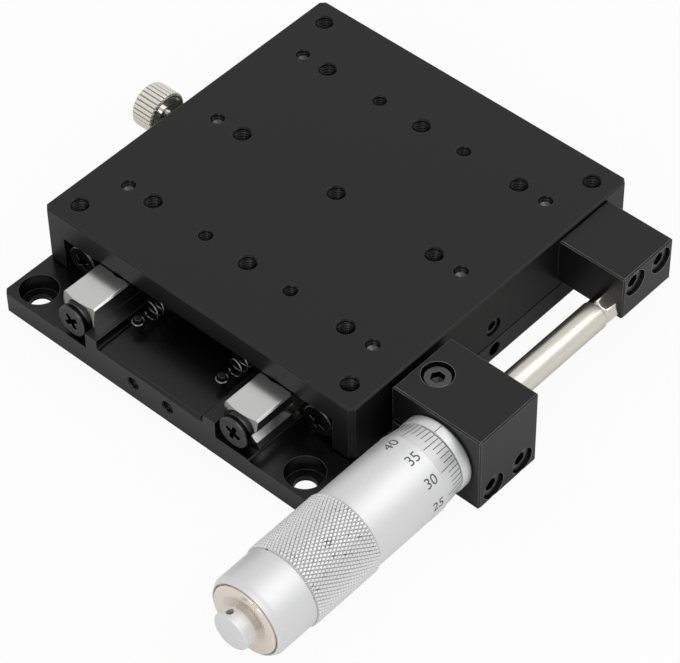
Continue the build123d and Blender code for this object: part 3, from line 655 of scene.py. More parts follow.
def eased(outline, cut):
    """The same closed outline with each corner cut back by a small bevel of two steps."""
    points = [Vector((x, r, 0)) for x, r in outline]
    rounded = []
    for i, corner in enumerate(points):
        if not corner.y:
            rounded.append((corner.x, 0))
            continue
        before = (points[i - 1] - corner).normalized()
        after = (points[(i + 1) % len(points)] - corner).normalized()
        start, stop = corner + before * cut, corner + after * cut
        middle = (start + stop) / 4 + corner / 2
        rounded += [(p.x, p.y) for p in (start, middle, stop)]
    return rounded


def joined(name, meshes):
    """One mesh made of several, which are used up."""
    shape = bmesh.new()
    for mesh in meshes:
        shape.from_mesh(mesh)
        bpy.data.meshes.remove(mesh)
    return mesh_of(name, shape)


def carve(mesh, tool):
    """A mesh with the shape of a tool taken out of it."""
    piece, cutter = lay_piece("carved", mesh), lay_piece("cutter", tool)
    modifier = piece.modifiers.new("carve", "BOOLEAN")
    modifier.object = cutter
    modifier.operation = "DIFFERENCE"
    made = evaluated_mesh(piece)
    bpy.data.objects.remove(piece)
    bpy.data.objects.remove(cutter)
    made.materials.clear()
    made.set_sharp_from_angle(angle=math.radians(25))
    return made


def solid_boxes(node):
    """The box of each separate solid in a node, as (low, high) corners."""
    shape = bmesh.new()
    shape.from_mesh(frame["nodes"][node].data)
    bmesh.ops.remove_doubles(shape, verts=shape.verts, dist=1e-7)
    boxes, left = [], set(shape.verts)
    for start in shape.verts:
        if start not in left:
            continue
        left.remove(start)
        island, waiting = [], [start]
        while waiting:
            vert = waiting.pop()
            island.append(vert.co.copy())
            fresh = {edge.other_vert(vert) for edge in vert.link_edges} & left
            left -= fresh
            waiting += fresh
        boxes.append(tuple(Vector(map(pick, zip(*island))) for pick in (min, max)))
    shape.free()
    return boxes


def seat_of(low, high, facing):
    """The middle of a box's face towards a direction."""
    middle, half = (low + high) / 2, (high - low) / 2
    reach = sum(abs(part * size) for part, size in zip(facing, half))
    return middle + facing * reach


# Geometry Nodes
def grow(name, tree, values, mesh=None):
    """The piece that a Geometry Nodes tree makes from named values, as a plain mesh."""
    piece = lay_piece(name, mesh or bpy.data.meshes.new(name))
    modifier = piece.modifiers.new("shape", "NODES")
    modifier.node_group = tree
    for item in tree.interface.items_tree:
        if item.in_out == "INPUT" and item.name in values:
            modifier[item.identifier] = values[item.name]
    made = evaluated_mesh(piece)
    piece.modifiers.clear()
    piece.data = made
    made.name = name
    return piece


def end_tree(geometry, given, smooth=None):
    """The end of every tree: real geometry with its finish, shaded smooth or flat if it says so."""
    tree = geometry.tree
    if smooth is not None:
        shading = {"Geometry": geometry, "Shade Smooth": smooth}
        geometry = add_node(tree, "GeometryNodeSetShadeSmooth", shading)
    real = add_node(tree, "GeometryNodeRealizeInstances", {0: geometry})
    dressed = {"Geometry": real, "Material": given["Finish"]}
    return {"Geometry": add_node(tree, "GeometryNodeSetMaterial", dressed)}


def set_places(geometry, **places):
    """The same geometry with its points at a Position, or moved by an Offset."""
    return add_node(geometry.tree, "GeometryNodeSetPosition", {"Geometry": geometry, **places})


def own_place(tree):
    """Where each point of a geometry is, as X, Y and Z by name."""
    return split(add_node(tree, "GeometryNodeInputPosition"))


def about_x(x, radius, angle):
    """A place at a radius and an angle about the X axis."""
    return vector(angle.tree, x, radius * calc("COSINE", angle), radius * calc("SINE", angle))


def choose(flag, when_false, when_true):
    """One of two values."""
    return add_node(
        flag.tree, "GeometryNodeSwitch", {0: flag, 1: when_false, 2: when_true}, input_type="FLOAT"
    )


def spin(axis, angle):
    """A turn about an axis."""
    return add_node(
        angle.tree, "FunctionNodeAxisAngleToRotation", {"Axis": axis, "Angle": angle}
    )


def copies_at(points, piece, first, then, **values):
    """Copies of a piece on points, turned by one rotation and then by another of their own."""
    tree = points.tree
    turn = add_node(
        tree, "FunctionNodeRotateRotation", {"Rotation": first, "Rotate By": then},
        rotation_space="LOCAL",
    )
    return add_node(
        tree, "GeometryNodeInstanceOnPoints",
        {"Points": points, "Instance": piece, "Rotation": turn, **values},
    )


def circle(tree, sides, radius):
    """A regular polygon."""
    return add_node(
        tree, "GeometryNodeCurvePrimitiveCircle", {"Resolution": sides, "Radius": radius}, "Curve"
    )


def rod(curve, sides, radius):
    """A solid rod of a regular section along a curve."""
    section = circle(curve.tree, sides, radius)
    return add_node(
        curve.tree, "GeometryNodeCurveToMesh",
        {"Curve": curve, "Profile Curve": section, "Fill Caps": True},
    )


@node_group(
    "GeometryNodeTree", Geometry="Seats", Object="Piece", Float="Turn", Int="Seed",
    Material="Finish",
)
def pieces_on_seats(tree, given):
    """Copies of one piece, standing on the points of a mesh along each point's facing."""
    facing = add_node(
        tree, "GeometryNodeInputNamedAttribute", {"Name": "facing"}, "Attribute",
        data_type="FLOAT_VECTOR",
    )
    along = add_node(tree, "FunctionNodeAlignRotationToVector", {"Vector": facing}, axis="Z")
    chance = add_node(
        tree, "FunctionNodeRandomValue", {2: 0.0, 3: given["Turn"], "Seed": given["Seed"]}, 1,
        data_type="FLOAT",
    )
    piece = add_node(tree, "GeometryNodeObjectInfo", {"Object": given["Piece"]}, "Geometry")
    return end_tree(copies_at(given["Seats"], piece, along, spin(UP, chance)), given)


def fit_copies(name, master, seats, finish_name, body, slot, turn=0.0, nodes=()):
    """One piece made of copies of a master mesh, each on its seat: a point and a facing."""
    master_object = lay_piece(name + "_master", master)
    points = bpy.data.meshes.new(name + "_seats")
    points.from_pydata([point for point, _ in seats], [], [])
    facing = points.attributes.new("facing", "FLOAT_VECTOR", "POINT")
    facing.data.foreach_set("vector", [part for _, way in seats for part in way])
    piece = grow(
        name, pieces_on_seats(),
        {"Piece": master_object, "Turn": turn, "Finish": finish(finish_name),
         "Seed": bpy.context.scene.screw_sizes.seed},
        points,
    )
    bpy.data.objects.remove(master_object)
    hold(piece, body, slot, *nodes)


# Screws, each with its outer end at the origin and pointing down
# The rings deepest in a screw's recess get painted shade
def screw(name, rows, thread_top, length, thread_d, pitch, sides, dark=(1, 2, 3)):
    """A screw of (outline, z) rows from its recess to its shank, with a thread and a cup point."""
    crest = thread_d / 2
    root = crest - 0.6 * pitch
    for i in range(int((thread_top + length - pitch) / pitch)):
        rows += [(crest, thread_top - i * pitch), (root, thread_top - (i + 0.5) * pitch)]
    rows += [(crest, pitch / 2 - length), (root, -length), (root * 0.1, pitch - length)]
    return skin(name, [ring(outline, z, sides) for outline, z in rows[::-1]], dark)


def hexagon_recess(socket, bottom, depth, lead):
    """The rows of a hexagon socket: a cone at its bottom, its walls and its bevelled mouth."""
    walls = [(hexagon(socket), -depth), (hexagon(socket), -lead)]
    return [(socket * 0.2, -bottom), *walls, (hexagon(socket + 2 * lead), 0.0)]


def socket_head(length, head_d, head_h, thread_d, socket, pitch, sizes):
    """A socket head screw."""
    head_r, edge, seat_cut, lead = head_d / 2, sizes.edge, 0.1 * MM, 0.12 * MM
    rows = hexagon_recess(socket, head_h * 0.62, head_h * 0.5, lead)
    rows += [(head_r - edge, 0.0), (head_r, -edge), (head_r, seat_cut - head_h)]
    rows += [(head_r - seat_cut, -head_h), (thread_d / 2, -head_h)]
    top = -head_h - pitch
    return screw("socket_head", rows, top, length, thread_d, pitch, sizes.sides)


def cross_head(length, head_d, head_h, thread_d, pitch, sizes):
    """A flat cross-recessed screw with a groove round its head."""
    head_r, rim, groove = head_d / 2, 0.2 * MM, 0.12 * MM
    rows = [(0.2 * MM, -head_h * 1.5)]
    # The cross's length over the head's diameter, its width and its depth
    steps = (0.40, 0.6 * MM, head_h * 1.2), (0.52, 1.05 * MM, 0.05 * MM), (0.54, 1.15 * MM, 0.0)
    rows += [(cross(head_d * share, width), -depth) for share, width, depth in steps]
    rows += [(head_r - rim, 0.0), (head_r, -rim), (head_r, -head_h / 2)]
    rows += [(head_r - groove, -head_h * 0.6), (head_r, -head_h * 0.7), (head_r, -head_h)]
    rows += [(thread_d / 2, -head_h)]
    # Painted shade in the cross recess and down the head's side with its groove
    dark = (1, 2, 3, 7, 8, 9, 10)
    top = -head_h - pitch
    return screw("cross_head", rows, top, length, thread_d, pitch, 2 * sizes.sides, dark)


def set_screw(length, thread_d, socket, pitch, sizes):
    """A headless socket screw."""
    lead, cut = 0.1 * MM, 0.35 * MM
    rows = hexagon_recess(socket, length * 0.55, length * 0.42, lead)
    rows += [(thread_d / 2 - cut, 0.0)]
    return screw("set_screw", rows, -cut, length, thread_d, pitch, sizes.sides)


def sunk_head(length, head_d, thread_d, socket, pitch, sizes):
    """A countersunk socket screw."""
    lead, rim, cone = 0.1 * MM, 0.12 * MM, (head_d - thread_d) / 2
    rows = hexagon_recess(socket, 1.3 * MM, 1.1 * MM, lead)
    rows += [(head_d / 2 - rim, 0.0), (head_d / 2, -rim), (thread_d / 2, -cone - rim)]
    return screw("sunk_head", rows, -cone - pitch, length, thread_d, pitch, sizes.sides)


def fit_screws(node, master, seats, body, finish_name="black_oxide", slot="black_steel"):
    """Puts a screw on each seat, turned by chance, in place of a node."""
    fit_copies(node + "_dressed", master, seats, finish_name, body, slot, math.tau, (node,))


def seats_facing(node, facing):
    """The seats of a node's solids, which all face one way, and the first one's sizes in order."""
    boxes = solid_boxes(node)
    return [(seat_of(*box, facing), facing) for box in boxes], sorted(boxes[0][1] - boxes[0][0])


def end_seats(node):
    """The seats of a node's solids at both ends of the travel, each facing away from the middle."""
    middle = sum(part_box(node), Vector())
    seats = []
    for box in solid_boxes(node):
        way = ALONG if sum(box, Vector()).x > middle.x else -ALONG
        seats.append((seat_of(*box, way), way))
    return seats


# Operators
class STAGE_OT_machined_finishes(bpy.types.Operator):
    """Give the plates, rails, blocks and turned pieces their finishes"""

    bl_idname = "stage.machined_finishes"
    bl_label = "Machined Finishes"

    def execute(self, context):
        for name, nodes in NODE_FINISHES.items():
            for node in nodes:
                piece = frame["nodes"][node]
                piece.data.materials.clear()
                piece.data.materials.append(finish(name))
        return {"FINISHED"}


class STAGE_OT_socket_screws(bpy.types.Operator):
    """Make the socket head screws of the blocks and the rails"""

    bl_idname = "stage.socket_screws"
    bl_label = "Socket Screws"

    # node: (body, facing, thread, head height, socket across flats), sizes in millimetres
    screws = {
        "bracket_screws": ("base", RIGHT_SIDE, 3.0, 3.0, 2.5),
        "clamp_screw": ("base", UP, 3.0, 3.0, 2.5),
        "anvil_screws": ("table", RIGHT_SIDE, 3.0, 3.0, 2.5),
        "base_rail_screws": ("base", -UP, 4.0, 2.8, 3.0),
        "table_rail_screws": ("table", -UP, 3.0, 3.0, 2.5),
    }

    def execute(self, context):
        sizes = context.scene.screw_sizes
        pitches = {3.0: sizes.fine_pitch, 4.0: sizes.coarse_pitch}
        for node, (body, facing, thread, head_h, socket) in self.screws.items():
            seats, (head_d, _, length) = seats_facing(node, facing)
            master = socket_head(
                length, head_d, head_h * MM, thread * MM, socket * MM, pitches[thread], sizes
            )
            fit_screws(node, master, seats, body)
        return {"FINISHED"}


class STAGE_OT_cross_screws(bpy.types.Operator):
    """Make the flat cross-recessed screws at the rails' ends"""

    bl_idname = "stage.cross_screws"
    bl_label = "Cross Screws"

    head_h, thread = 1.2, 3.0

    def execute(self, context):
        sizes = context.scene.screw_sizes
        for body in ("base", "table"):
            node = body + "_rail_end_screws"
            low, high = solid_boxes(node)[0]
            master = cross_head(
                high.x - low.x, high.z - low.z, self.head_h * MM, self.thread * MM,
                sizes.fine_pitch, sizes,
            )
            fit_screws(node, master, end_seats(node), body, "dark_steel", "dark_oxide_steel")
        return {"FINISHED"}


class STAGE_OT_sunk_screws(bpy.types.Operator):
    """Make the set screws of the table's wall and the countersunk screws of the lock plate"""

    bl_idname = "stage.sunk_screws"
    bl_label = "Set and Countersunk Screws"

    # Thread and socket across flats, in millimetres
    set_thread, set_socket, sunk_thread, sunk_socket = 4.0, 2.0, 2.0, 1.3

    def execute(self, context):
        sizes = context.scene.screw_sizes
        seats, (_, _, length) = seats_facing("preload_screws", RIGHT_SIDE)
        master = set_screw(
            length, self.set_thread * MM, self.set_socket * MM, sizes.coarse_pitch, sizes
        )
        fit_screws("preload_screws", master, seats, "table")
        seats, (head_d, _, length) = seats_facing("lock_plate_screws", LEFT_SIDE)
        master = sunk_head(
            length, head_d, self.sunk_thread * MM, self.sunk_socket * MM, sizes.fine_pitch, sizes
        )
        fit_screws("lock_plate_screws", master, seats, "base")
        return {"FINISHED"}


# The height of a thread's ridge in a tapped hole, over its pitch
RIDGE_SHARE = 0.46


@node_group("GeometryNodeTree", Float="Radius, Pitch, Depth", Int="Sides", Material="Finish")
def thread_ridge(tree, given):
    """The inside ridge of a tapped hole: a coil of diamond section, going down from the origin."""
    radius, pitch, depth = (given[name] for name in ("Radius", "Pitch", "Depth"))
    coil = add_node(
        tree, "GeometryNodeCurveSpiral",
        {"Resolution": given["Sides"], "Rotations": depth / pitch, "Start Radius": radius,
         "End Radius": radius, "Height": depth},
    )
    lowered = set_places(coil, Offset=vector(tree, z=depth * -1.0))
    level = add_node(tree, "GeometryNodeSetCurveNormal", {"Curve": lowered}, mode="Z_UP")
    return end_tree(rod(level, 4, pitch * RIDGE_SHARE), given, smooth=False)


def mount_seats(name, first=ALONG, second=LEFT_SIDE):
    """The mouths of a mount's holes, in rows along two directions, and the way that they face."""
    mount = next(entry for entry in frame["record"]["mounts"] if entry["name"] == name)
    dims = mount["dims"]
    steps_x, steps_y = (
        [share * dims[key] * MM for share in (-0.5, 0.5)] if key in dims else [0]
        for key in ("spacing_x_mm", "spacing_y_mm")
    )
    return [
        (Vector(mount["pos_m"]) + first * x + second * y, Vector(mount["axis"]))
        for x in steps_x
        for y in steps_y
    ]


class STAGE_OT_tapped_threads(bpy.types.Operator):
    """Cut the look of a thread into the tapped holes of the table and the base"""

    bl_idname = "stage.tapped_threads"
    bl_label = "Tapped Threads"

    # The depth of the chamfer at a hole's mouth, the room round a screw, where the table's coils
    # end above the rails and how deep the others go, the finer ones as a share of the coarse ones
    lead, gap, over_rails, front_depth, fine_share = 0.3 * MM, 0.05 * MM, 0.6 * MM, 4.0 * MM, 0.7
    mouth_top, mouth_sides = -0.01 * MM, 48

    def execute(self, context):
        low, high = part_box("table_plate")
        coarse = []
        for name in ("table_corner_threads", "table_grid_threads", "table_middle_row_x",
                     "table_middle_row_y"):
            coarse += mount_seats(name)
        coarse.append((Vector(((low.x + high.x) / 2, 0, high.z)), UP))
        fine = mount_seats("table_small_threads")
        for box in solid_boxes("table_rail_screws"):
            x, y, _ = (box[0] + box[1]) / 2
            fine.append((Vector((x, y, high.z)), UP))
        front = mount_seats("base_front_threads", LEFT_SIDE, UP)
        sizes = context.scene.screw_sizes
        depth = high.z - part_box("table_rail_left")[1].z - self.over_rails
        short = depth * self.fine_share
        for name, body, seats, thread, pitch, reach in (
            ("table_coarse_threads", "table", coarse, 4.0, sizes.coarse_pitch, depth),
            ("table_fine_threads", "table", fine, 3.0, sizes.fine_pitch, short),
            ("base_front_thread_coils", "base", front, 3.0, sizes.fine_pitch, self.front_depth),
        ):
            for part, master in self.hole_parts(name, thread, pitch, reach, sizes.sides // 2):
                fit_copies(f"{name}_{part}", master, seats, "cut_thread", body, "black_anodised")
        return {"FINISHED"}

    def hole_parts(self, name, thread, pitch, depth, sides):
        """The coil and the mouth that line a hole of one size."""
        radius = thread / 2 * MM + self.gap
        ridge = grow(
            name + "_ridge", thread_ridge(),
            {"Radius": radius, "Pitch": pitch, "Depth": depth - pitch, "Sides": sides},
        )
        coil = ridge.data
        bpy.data.objects.remove(ridge)
        start = -self.lead - pitch / 2
        coil.transform(Matrix.Translation((0, 0, start)))
        crest = radius - RIDGE_SHARE * pitch
        outline = [(self.mouth_top, radius), (-self.lead, crest), (start, crest), (start, radius)]
        upright = Matrix.Rotation(-math.tau / 4, 4, "Y")
        mouth = turned("mouth", outline, upright, self.mouth_sides)
        return ("coils", coil), ("mouths", mouth)


# The micrometer head
@node_group(
    "GeometryNodeTree", Int="Pitches Round, Steps Round, Steps Along", Material="Finish",
    Float="Radius, Inner Radius, Length, End Slope, Depth, Slant, Flat Top",
)
def knurled_band(tree, given):
    """A knurled band about the X axis: V grooves of two slants, or straight ones at no slant."""
    around, along, length, depth = (
        given[name] for name in ("Steps Round", "Steps Along", "Length", "Depth")
    )
    rows = along + 3.0
    grid = add_node(
        tree, "GeometryNodeMeshGrid",
        {"Size X": around, "Size Y": rows, "Vertices X": around + 1.0, "Vertices Y": rows + 1.0},
        "Mesh",
    )
    spot = own_place(tree)
    i = calc("ROUND", spot["X"] + around * 0.5)
    j = calc("ROUND", spot["Y"] + rows * 0.5)
    x = least(calc("MAXIMUM", j - 1.0, 0.0), along) / along * length
    pitches = i / around * given["Pitches Round"]
    slant = x * given["Slant"]

    def ridge(value):
        """0 in a groove and 1 halfway to the next."""
        return calc("PINGPONG", value, 0.5) * 2.0

    rise = least(ridge(pitches + slant), ridge(pitches - slant))
    height = least(rise / given["Flat Top"], 1.0)
    slope = least(least(x, length - x) / given["End Slope"], 1.0)
    outer = given["Radius"] - (1.0 - height) * depth
    top = least(outer, given["Radius"] - depth + slope * depth)
    inside = calc(
        "GREATER_THAN", calc("ABSOLUTE", j / rows - 0.5), 0.5 - 0.5 / rows,
        kind="FunctionNodeCompare",
    )
    place = about_x(x, choose(inside, top, given["Inner Radius"]), i / around * math.tau)
    wrapped = set_places(grid, Position=place)
    # The last row turns back under the band to meet the first one.
    closed = add_node(
        tree, "GeometryNodeMergeByDistance", {"Geometry": wrapped, "Distance": 0.001 * MM}
    )
    cut = add_node(
        tree, "GeometryNodeTriangulate", {"Mesh": closed}, quad_method="SHORTEST_DIAGONAL"
    )
    return end_tree(cut, given, smooth=False)


def knurled_sleeve(name, finish_name, body, slot, matrix, values, *nodes):
    """Puts a closed knurled sleeve on its body, moved to its place by a matrix."""
    piece = grow(name, knurled_band(), {"Finish": finish(finish_name), **values})
    shape = bmesh.new()
    shape.from_mesh(piece.data)
    loose = [edge for edge in shape.edges if edge.is_boundary]
    if loose:
        bmesh.ops.bridge_loops(shape, edges=loose)
        bmesh.ops.triangulate(shape, faces=shape.faces)
    bmesh.ops.recalc_face_normals(shape, faces=shape.faces)
    bmesh.ops.transform(shape, matrix=matrix, verts=shape.verts)
    shape.to_mesh(piece.data)
    shape.free()
    hold(piece, body, slot, *nodes)


class STAGE_OT_thimble(bpy.types.Operator):
    """Make the micrometer's thimble with its bevelled nose and diamond knurl"""

    bl_idname = "stage.thimble"
    bl_label = "Thimble"

    # Lengths from the nose or the end, and radii below the knurl's crests
    knurl_start, knurl_end, rim_l, wall_l = 23.0 * MM, 39.5 * MM, 1.2 * MM, 4.6 * MM
    rim_fall, bore_fall, step, groove_floor = 1.0 * MM, 2.0 * MM, 0.1 * MM, 0.3 * MM
    disc_seat_l, disc_wall, journal_r, edge = 1.2 * MM, 0.2 * MM, 2.55 * MM, 0.04 * MM
    band_wall, band_slope, steps, flat_top = 0.4 * MM, 0.3 * MM, 4, 0.5

    def execute(self, context):
        sizes = context.scene.micrometer_sizes
        nose, end = THIMBLE_HIGH.x, THIMBLE_LOW.x
        valley = KNURL_R - sizes.knurl_depth
        floor_r = valley - self.groove_floor
        bore_r, rim_r = KNURL_R - self.bore_fall, KNURL_R - self.rim_fall
        seat_r, seat_x = rim_r - self.disc_wall, end + self.disc_seat_l
        start_x, end_x = nose - self.knurl_start, nose - self.knurl_end
        outline = [
            (nose, bore_r), (nose, NOSE_R), (nose - SCALE_L, SCALE_R),
            (nose - SCALE_L - self.step, BODY_R), (start_x, BODY_R),
            (start_x - self.step, floor_r), (end_x + self.step, floor_r), (end_x, BODY_R),
            (end + self.rim_l, BODY_R), (end, rim_r), (end, seat_r), (seat_x, seat_r),
            (seat_x, self.journal_r), (seat_x + self.wall_l, self.journal_r),
            (seat_x + self.wall_l, bore_r),
        ]
        drum = turned("thimble_drum", eased(outline, self.edge), TO_AXIS)
        dress("thimble_drum", drum, "satin_chrome", "thimble", "satin_chrome", "thimble")
        length = self.knurl_end - self.knurl_start
        pitch = math.tau * KNURL_R / sizes.knurl_pitches / math.tan(sizes.knurl_lean)
        pitches = round(length / pitch)
        knurled_sleeve(
            "thimble_knurl", "knurl_chrome", "thimble", "satin_chrome",
            Matrix.Translation(AXIS + Vector((end_x, 0, 0))),
            {"Radius": KNURL_R, "Inner Radius": valley - self.band_wall, "Length": length,
             "Depth": sizes.knurl_depth, "End Slope": self.band_slope,
             "Pitches Round": sizes.knurl_pitches, "Steps Round": sizes.knurl_pitches * self.steps,
             "Steps Along": pitches * self.steps, "Slant": pitches / length,
             "Flat Top": self.flat_top},
            "thimble",
        )
        return {"FINISHED"}


class STAGE_OT_turned_pieces(bpy.types.Operator):
    """Turn the micrometer's sleeve, spindle, anvil, end disc and button"""

    bl_idname = "stage.turned_pieces"
    bl_label = "Turned Pieces"

    # Outlines as (x, radius) in millimetres. The sleeve's x is counted from its stem's end, the
    # spindle's from its tip, and the disc's and the button's from the disc's outer face.
    outlines = {
        "sleeve": ((0, 3.05), (0, 4.75), (-16.8, 4.75), (-16.8, 7.6), (-17.2, 8.0),
                   (-19.4, 8.0), (-19.4, 6.5), (-48.9, 6.5), (-48.9, 5.5), (-55.9, 5.5),
                   (-55.9, 3.05)),
        "spindle": ((0, 0), (0, 2.5), (-0.5, 3.0), (-92.55, 3.0), (-92.55, 2.5), (-95.95, 2.5),
                    (-95.95, 1.55), (-91.2, 1.55), (-91.2, 0)),
        "disc": ((1.6, 1.65), (1.6, 7.35), (0.2, 7.35), (0, 7.15), (0, 5.2), (1.0, 3.2),
                 (1.0, 1.65)),
        "button": ((-3.5, 0), (-3.5, 3.65), (-3.15, 4.0), (-0.8, 4.0), (-0.8, 2.8), (1.0, 2.8),
                   (1.0, 1.5), (6.0, 1.5), (6.0, 0)),
    }
    edge = 0.08 * MM
    anvil_across, crown_r, crown_l, anvil_lean = 5.0 * MM, 2.2 * MM, 0.6 * MM, math.radians(10)
    crown_steps, anvil_sides = 6, 96
    notch_angle, notch_size, notch_depth = math.radians(114), (1.1 * MM, 1.1 * MM), 0.4 * MM
    hole_lean, hole_r, hole_x, hole_reach = math.radians(-15), 0.75 * MM, -2.15 * MM, 6 * MM

    def lathe(self, name, start):
        """One of the outlines, turned where it starts."""
        outline = [(start + x * MM, r * MM) for x, r in self.outlines[name]]
        return turned(name, eased(outline, self.edge), TO_AXIS)

    def execute(self, context):
        face_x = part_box("end_disc")[0].x
        for name, mesh, finish_name, body, slot, node in (
            ("micrometer_sleeve_turned", self.lathe("sleeve", SLEEVE_HIGH.x), "satin_chrome",
             "base", "satin_chrome", "micrometer_sleeve"),
            ("spindle_turned", self.lathe("spindle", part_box("spindle")[1].x), "spindle_steel",
             "spindle", "polished_steel", "spindle"),
            ("anvil_dressed", self.anvil_mesh(), "nickel", "table", "nickel", "anvil"),
            ("end_disc_turned", self.disc_mesh(face_x), "rosy_nickel", "thimble", "nickel",
             "end_disc"),
            ("end_button_turned", self.button_mesh(face_x), "satin_chrome", "thimble", "nickel",
             "end_button"),
        ):
            dress(name, mesh, finish_name, body, slot, node)
        return {"FINISHED"}

    def anvil_mesh(self):
        """The hexagon button that the spindle pushes, with its crown; a corner points nearly up."""
        seat_x, tip_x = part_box("anvil_bracket")[0].x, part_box("anvil")[0].x
        sides = hexagon(self.anvil_across)
        corner_r = self.anvil_across / math.sqrt(3)
        rings = [ring(lambda angle: sides(angle - self.anvil_lean), 0.0, self.anvil_sides)]
        for step in range(self.crown_steps, -1, -1):
            share = step / self.crown_steps
            limit = self.crown_r + (corner_r - self.crown_r) * share
            rings.append(ring(
                lambda angle: min(limit, sides(angle - self.anvil_lean)),
                seat_x - tip_x - self.crown_l * share, self.anvil_sides,
            ))
        mesh = skin("anvil", rings)
        place = Matrix.Translation(AXIS + Vector((seat_x, 0, 0)))
        mesh.transform(place @ Matrix.Rotation(-math.tau / 4, 4, "Y"))
        return mesh

    def disc_mesh(self, face_x):
        """The disc, with a notch in its rim."""
        disc_r = self.outlines["disc"][1][1] * MM
        width, depth = self.notch_size
        shape = bmesh.new()
        bmesh.ops.create_cube(shape, size=1.0)
        tool = mesh_of("notch", shape)
        tool.transform(
            Matrix.Translation(AXIS + Vector((face_x, 0, 0)))
            @ Matrix.Rotation(self.notch_angle, 4, "X")
            @ Matrix.Translation((0, disc_r, 0))
            @ Matrix.Diagonal((2 * self.notch_depth, 2 * depth, width, 1))
        )
        return carve(self.lathe("disc", face_x), tool)

    def button_mesh(self, face_x):
        """The button, with a hole drilled across it."""
        reach = (-self.hole_reach, self.hole_reach)
        tool = skin("hole", [ring(self.hole_r, z, 32) for z in reach])
        place = Matrix.Translation(AXIS + Vector((face_x + self.hole_x, 0, 0)))
        tool.transform(place @ Matrix.Rotation(self.hole_lean, 4, "X"))
        return carve(self.lathe("button", face_x), tool)


@node_group(
    "GeometryNodeTree", Int="Count", Bool="Across", Material="Finish",
    Float="Step Angle, Step Along, First Angle, Start, Radius, Slope, Width, Height, Short, Long",
)
def scale_lines(tree, given):
    """Scale lines about the X axis on a cone, with every fifth one longer."""
    index = add_node(tree, "GeometryNodeInputIndex")
    across = given["Across"]
    fifth = calc("COMPARE", calc("MODULO", index, 5.0), 0.0, 0.1)
    length = given["Short"] + fifth * (given["Long"] - given["Short"])
    half = length * 0.5
    # A line along the axis starts at the nose, and one across it starts at the index line.
    along = choose(across, half, 0.0)
    swing = choose(across, 0.0, half / given["Radius"])
    turn = given["First Angle"] + index * given["Step Angle"] + swing
    x = given["Start"] + index * given["Step Along"] - along
    line = add_node(tree, "GeometryNodeMeshLine", {"Count": given["Count"]})
    place = about_x(x, given["Radius"] + along * given["Slope"], turn)
    size = vector(
        tree, choose(across, length, given["Width"]), given["Height"],
        choose(across, given["Width"], length),
    )
    bar = add_node(tree, "GeometryNodeMeshCube", {"Size": (1, 1, 1)}, "Mesh")
    tilt = spin(UP, calc("ARCTANGENT", given["Slope"]) * -1.0)
    bars = copies_at(set_places(line, Position=place), bar, spin(ALONG, turn), tilt, Scale=size)
    return end_tree(bars, given)


def lay_lines(name, body, sizes, **values):
    """Puts scale lines on a body of the micrometer."""
    given = {key.replace("_", " ").title(): value for key, value in values.items()}
    given.update({"Finish": finish("scale_paint"), "Width": sizes.line_w, "Height": 0.03 * MM})
    piece = grow(name, scale_lines(), given)
    piece.data.transform(TO_AXIS)
    hold(piece, body, "satin_chrome")


def wrapped_number(text, x, angle, radius, height):
    """The mesh of a raised number that lies on a drum about the micrometer's axis."""
    curve = bpy.data.curves.new("number", "FONT")
    curve.body = text
    # A digit is 0.7 of the type's size.
    curve.size = height / 0.7
    curve.align_x = "CENTER"
    curve.align_y = "CENTER"
    curve.resolution_u = 4
    curve.extrude = 0.02 * MM
    holder = bpy.data.objects.new("number", curve)
    mesh = bpy.data.meshes.new_from_object(holder)
    bpy.data.objects.remove(holder)
    bpy.data.curves.remove(curve)
    for vert in mesh.vertices:
        turn = angle - vert.co.y / radius
        reach = radius + vert.co.z
        vert.co = AXIS + Vector((x + vert.co.x, reach * math.cos(turn), reach * math.sin(turn)))
    return mesh


def lay_numbers(name, body, numbers, radius, height):
    """Puts numbers, given as (value, x, angle), on a body of the micrometer."""
    meshes = [wrapped_number(str(value), x, angle, radius, height) for value, x, angle in numbers]
    dress(name, joined(name, meshes), "scale_paint", body, "satin_chrome")


